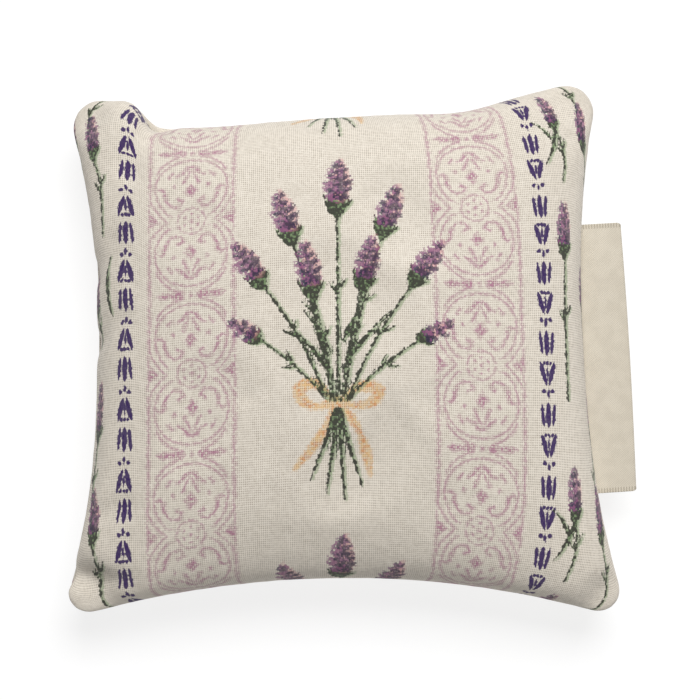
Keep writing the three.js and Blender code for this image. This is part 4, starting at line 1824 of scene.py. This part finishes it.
# Stage: the floor's half size and how far it lies under the sachet, then the large light
FLOOR_HALF = 3
FLOOR_DROP = 0.00005
SENSOR = 36
CAMERA_SEES = (0.01, 10)
KEY_PLACE = (0.13, 0.5, 1.015)
KEY_AIM = (0, 0, 0.02)
KEY_SIZE = (0.6, 0.5)
WHITE = (1.0, 1.0, 1.0)


def add_camera(stage):
    """A camera straight above the sachet, which sees view_width at the seam."""
    lens = bpy.data.cameras.new("camera")
    lens.sensor_width = SENSOR
    lens.lens = SENSOR * stage.distance / stage.view_width
    lens.clip_start, lens.clip_end = CAMERA_SEES
    camera = put_in_scene("camera", lens)
    camera.location = (stage.view_x, stage.view_y, SEAM_HEIGHT + stage.distance)
    bpy.context.scene.camera = camera


def add_floor(stage):
    """A pale floor that glows a little."""
    bm = bmesh.new()
    bmesh.ops.create_grid(bm, x_segments=1, y_segments=1, size=FLOOR_HALF)
    bmesh.ops.translate(bm, verts=bm.verts[:], vec=(0, 0, -FLOOR_DROP))
    floor = put_in_scene("floor", mesh_of(bm, "floor"))
    material, nodes = plain_material("pale floor")
    grain = nodes.noise(nodes.place(), 40.0, 2.0, flat=False)
    glow = {"Emission Color": WHITE, "Emission Strength": stage.glow}
    nodes.finish(tuple(stage.floor), nodes.ramp(grain, 0.3, 0.7, 0.7, 0.8), **glow)
    floor.data.materials.append(material)


def add_lights(stage):
    """A large light above the top side, and soft light from all round."""
    lamp = bpy.data.lights.new("key light", "AREA")
    lamp.shape = "RECTANGLE"
    lamp.size, lamp.size_y = KEY_SIZE
    lamp.energy = stage.key
    key = put_in_scene("key light", lamp)
    key.location = KEY_PLACE
    key.rotation_euler = (Vector(KEY_AIM) - key.location).to_track_quat("-Z", "Y").to_euler()
    world = bpy.data.worlds.new("soft light")
    bpy.context.scene.world = world
    nodes = Nodes(world)
    sky = nodes.make("ShaderNodeBackground", None, {"Color": WHITE, "Strength": stage.fill})
    nodes.make("ShaderNodeOutputWorld", None, {"Surface": sky})


class SACHET_OT_stage(bpy.types.Operator):
    """Sets the camera, the pale floor and the soft lights"""

    bl_idname = "sachet.stage"
    bl_label = "Stage"

    def execute(self, context):
        stage = context.scene.sachet_stage
        add_camera(stage)
        add_floor(stage)
        add_lights(stage)
        context.scene.view_settings.view_transform = "Standard"
        return {"FINISHED"}


class SACHET_PT_panel(bpy.types.Panel):
    """Lists the sachet's pieces"""

    bl_idname = "SACHET_PT_panel"
    bl_label = "Lavender sachet"
    bl_space_type = "VIEW_3D"
    bl_region_type = "UI"
    bl_category = "Sachet"

    def draw(self, context):
        for operator in OPERATORS:
            self.layout.operator(operator.bl_idname)
        for group in GROUPS:
            settings = getattr(context.scene, group)
            box = self.layout.box()
            for name in settings.bl_rna.properties.keys():
                if name not in ("name", "rna_type"):
                    box.prop(settings, name)


OPERATORS = (SACHET_OT_stage, SACHET_OT_panels, SACHET_OT_buds, SACHET_OT_threads, SACHET_OT_label)
GROUPS = {
    "sachet_pillow": SachetPillow,
    "sachet_print": SachetPrint,
    "sachet_label": SachetLabel,
    "sachet_inside": SachetInside,
    "sachet_stage": SachetStage,
}
CLASSES = (*GROUPS.values(), *OPERATORS, SACHET_PT_panel)


def register():
    for item in CLASSES:
        bpy.utils.register_class(item)
    for name, group in GROUPS.items():
        setattr(bpy.types.Scene, name, PointerProperty(type=group))


def unregister():
    for name in GROUPS:
        delattr(bpy.types.Scene, name)
    for item in reversed(CLASSES):
        bpy.utils.unregister_class(item)


def main():
    register()
    bpy.ops.sachet.stage()
    bpy.ops.sachet.panels()
    bpy.ops.sachet.buds()
    bpy.ops.sachet.threads()
    bpy.ops.sachet.label()


if __name__ == "__main__":
    main()
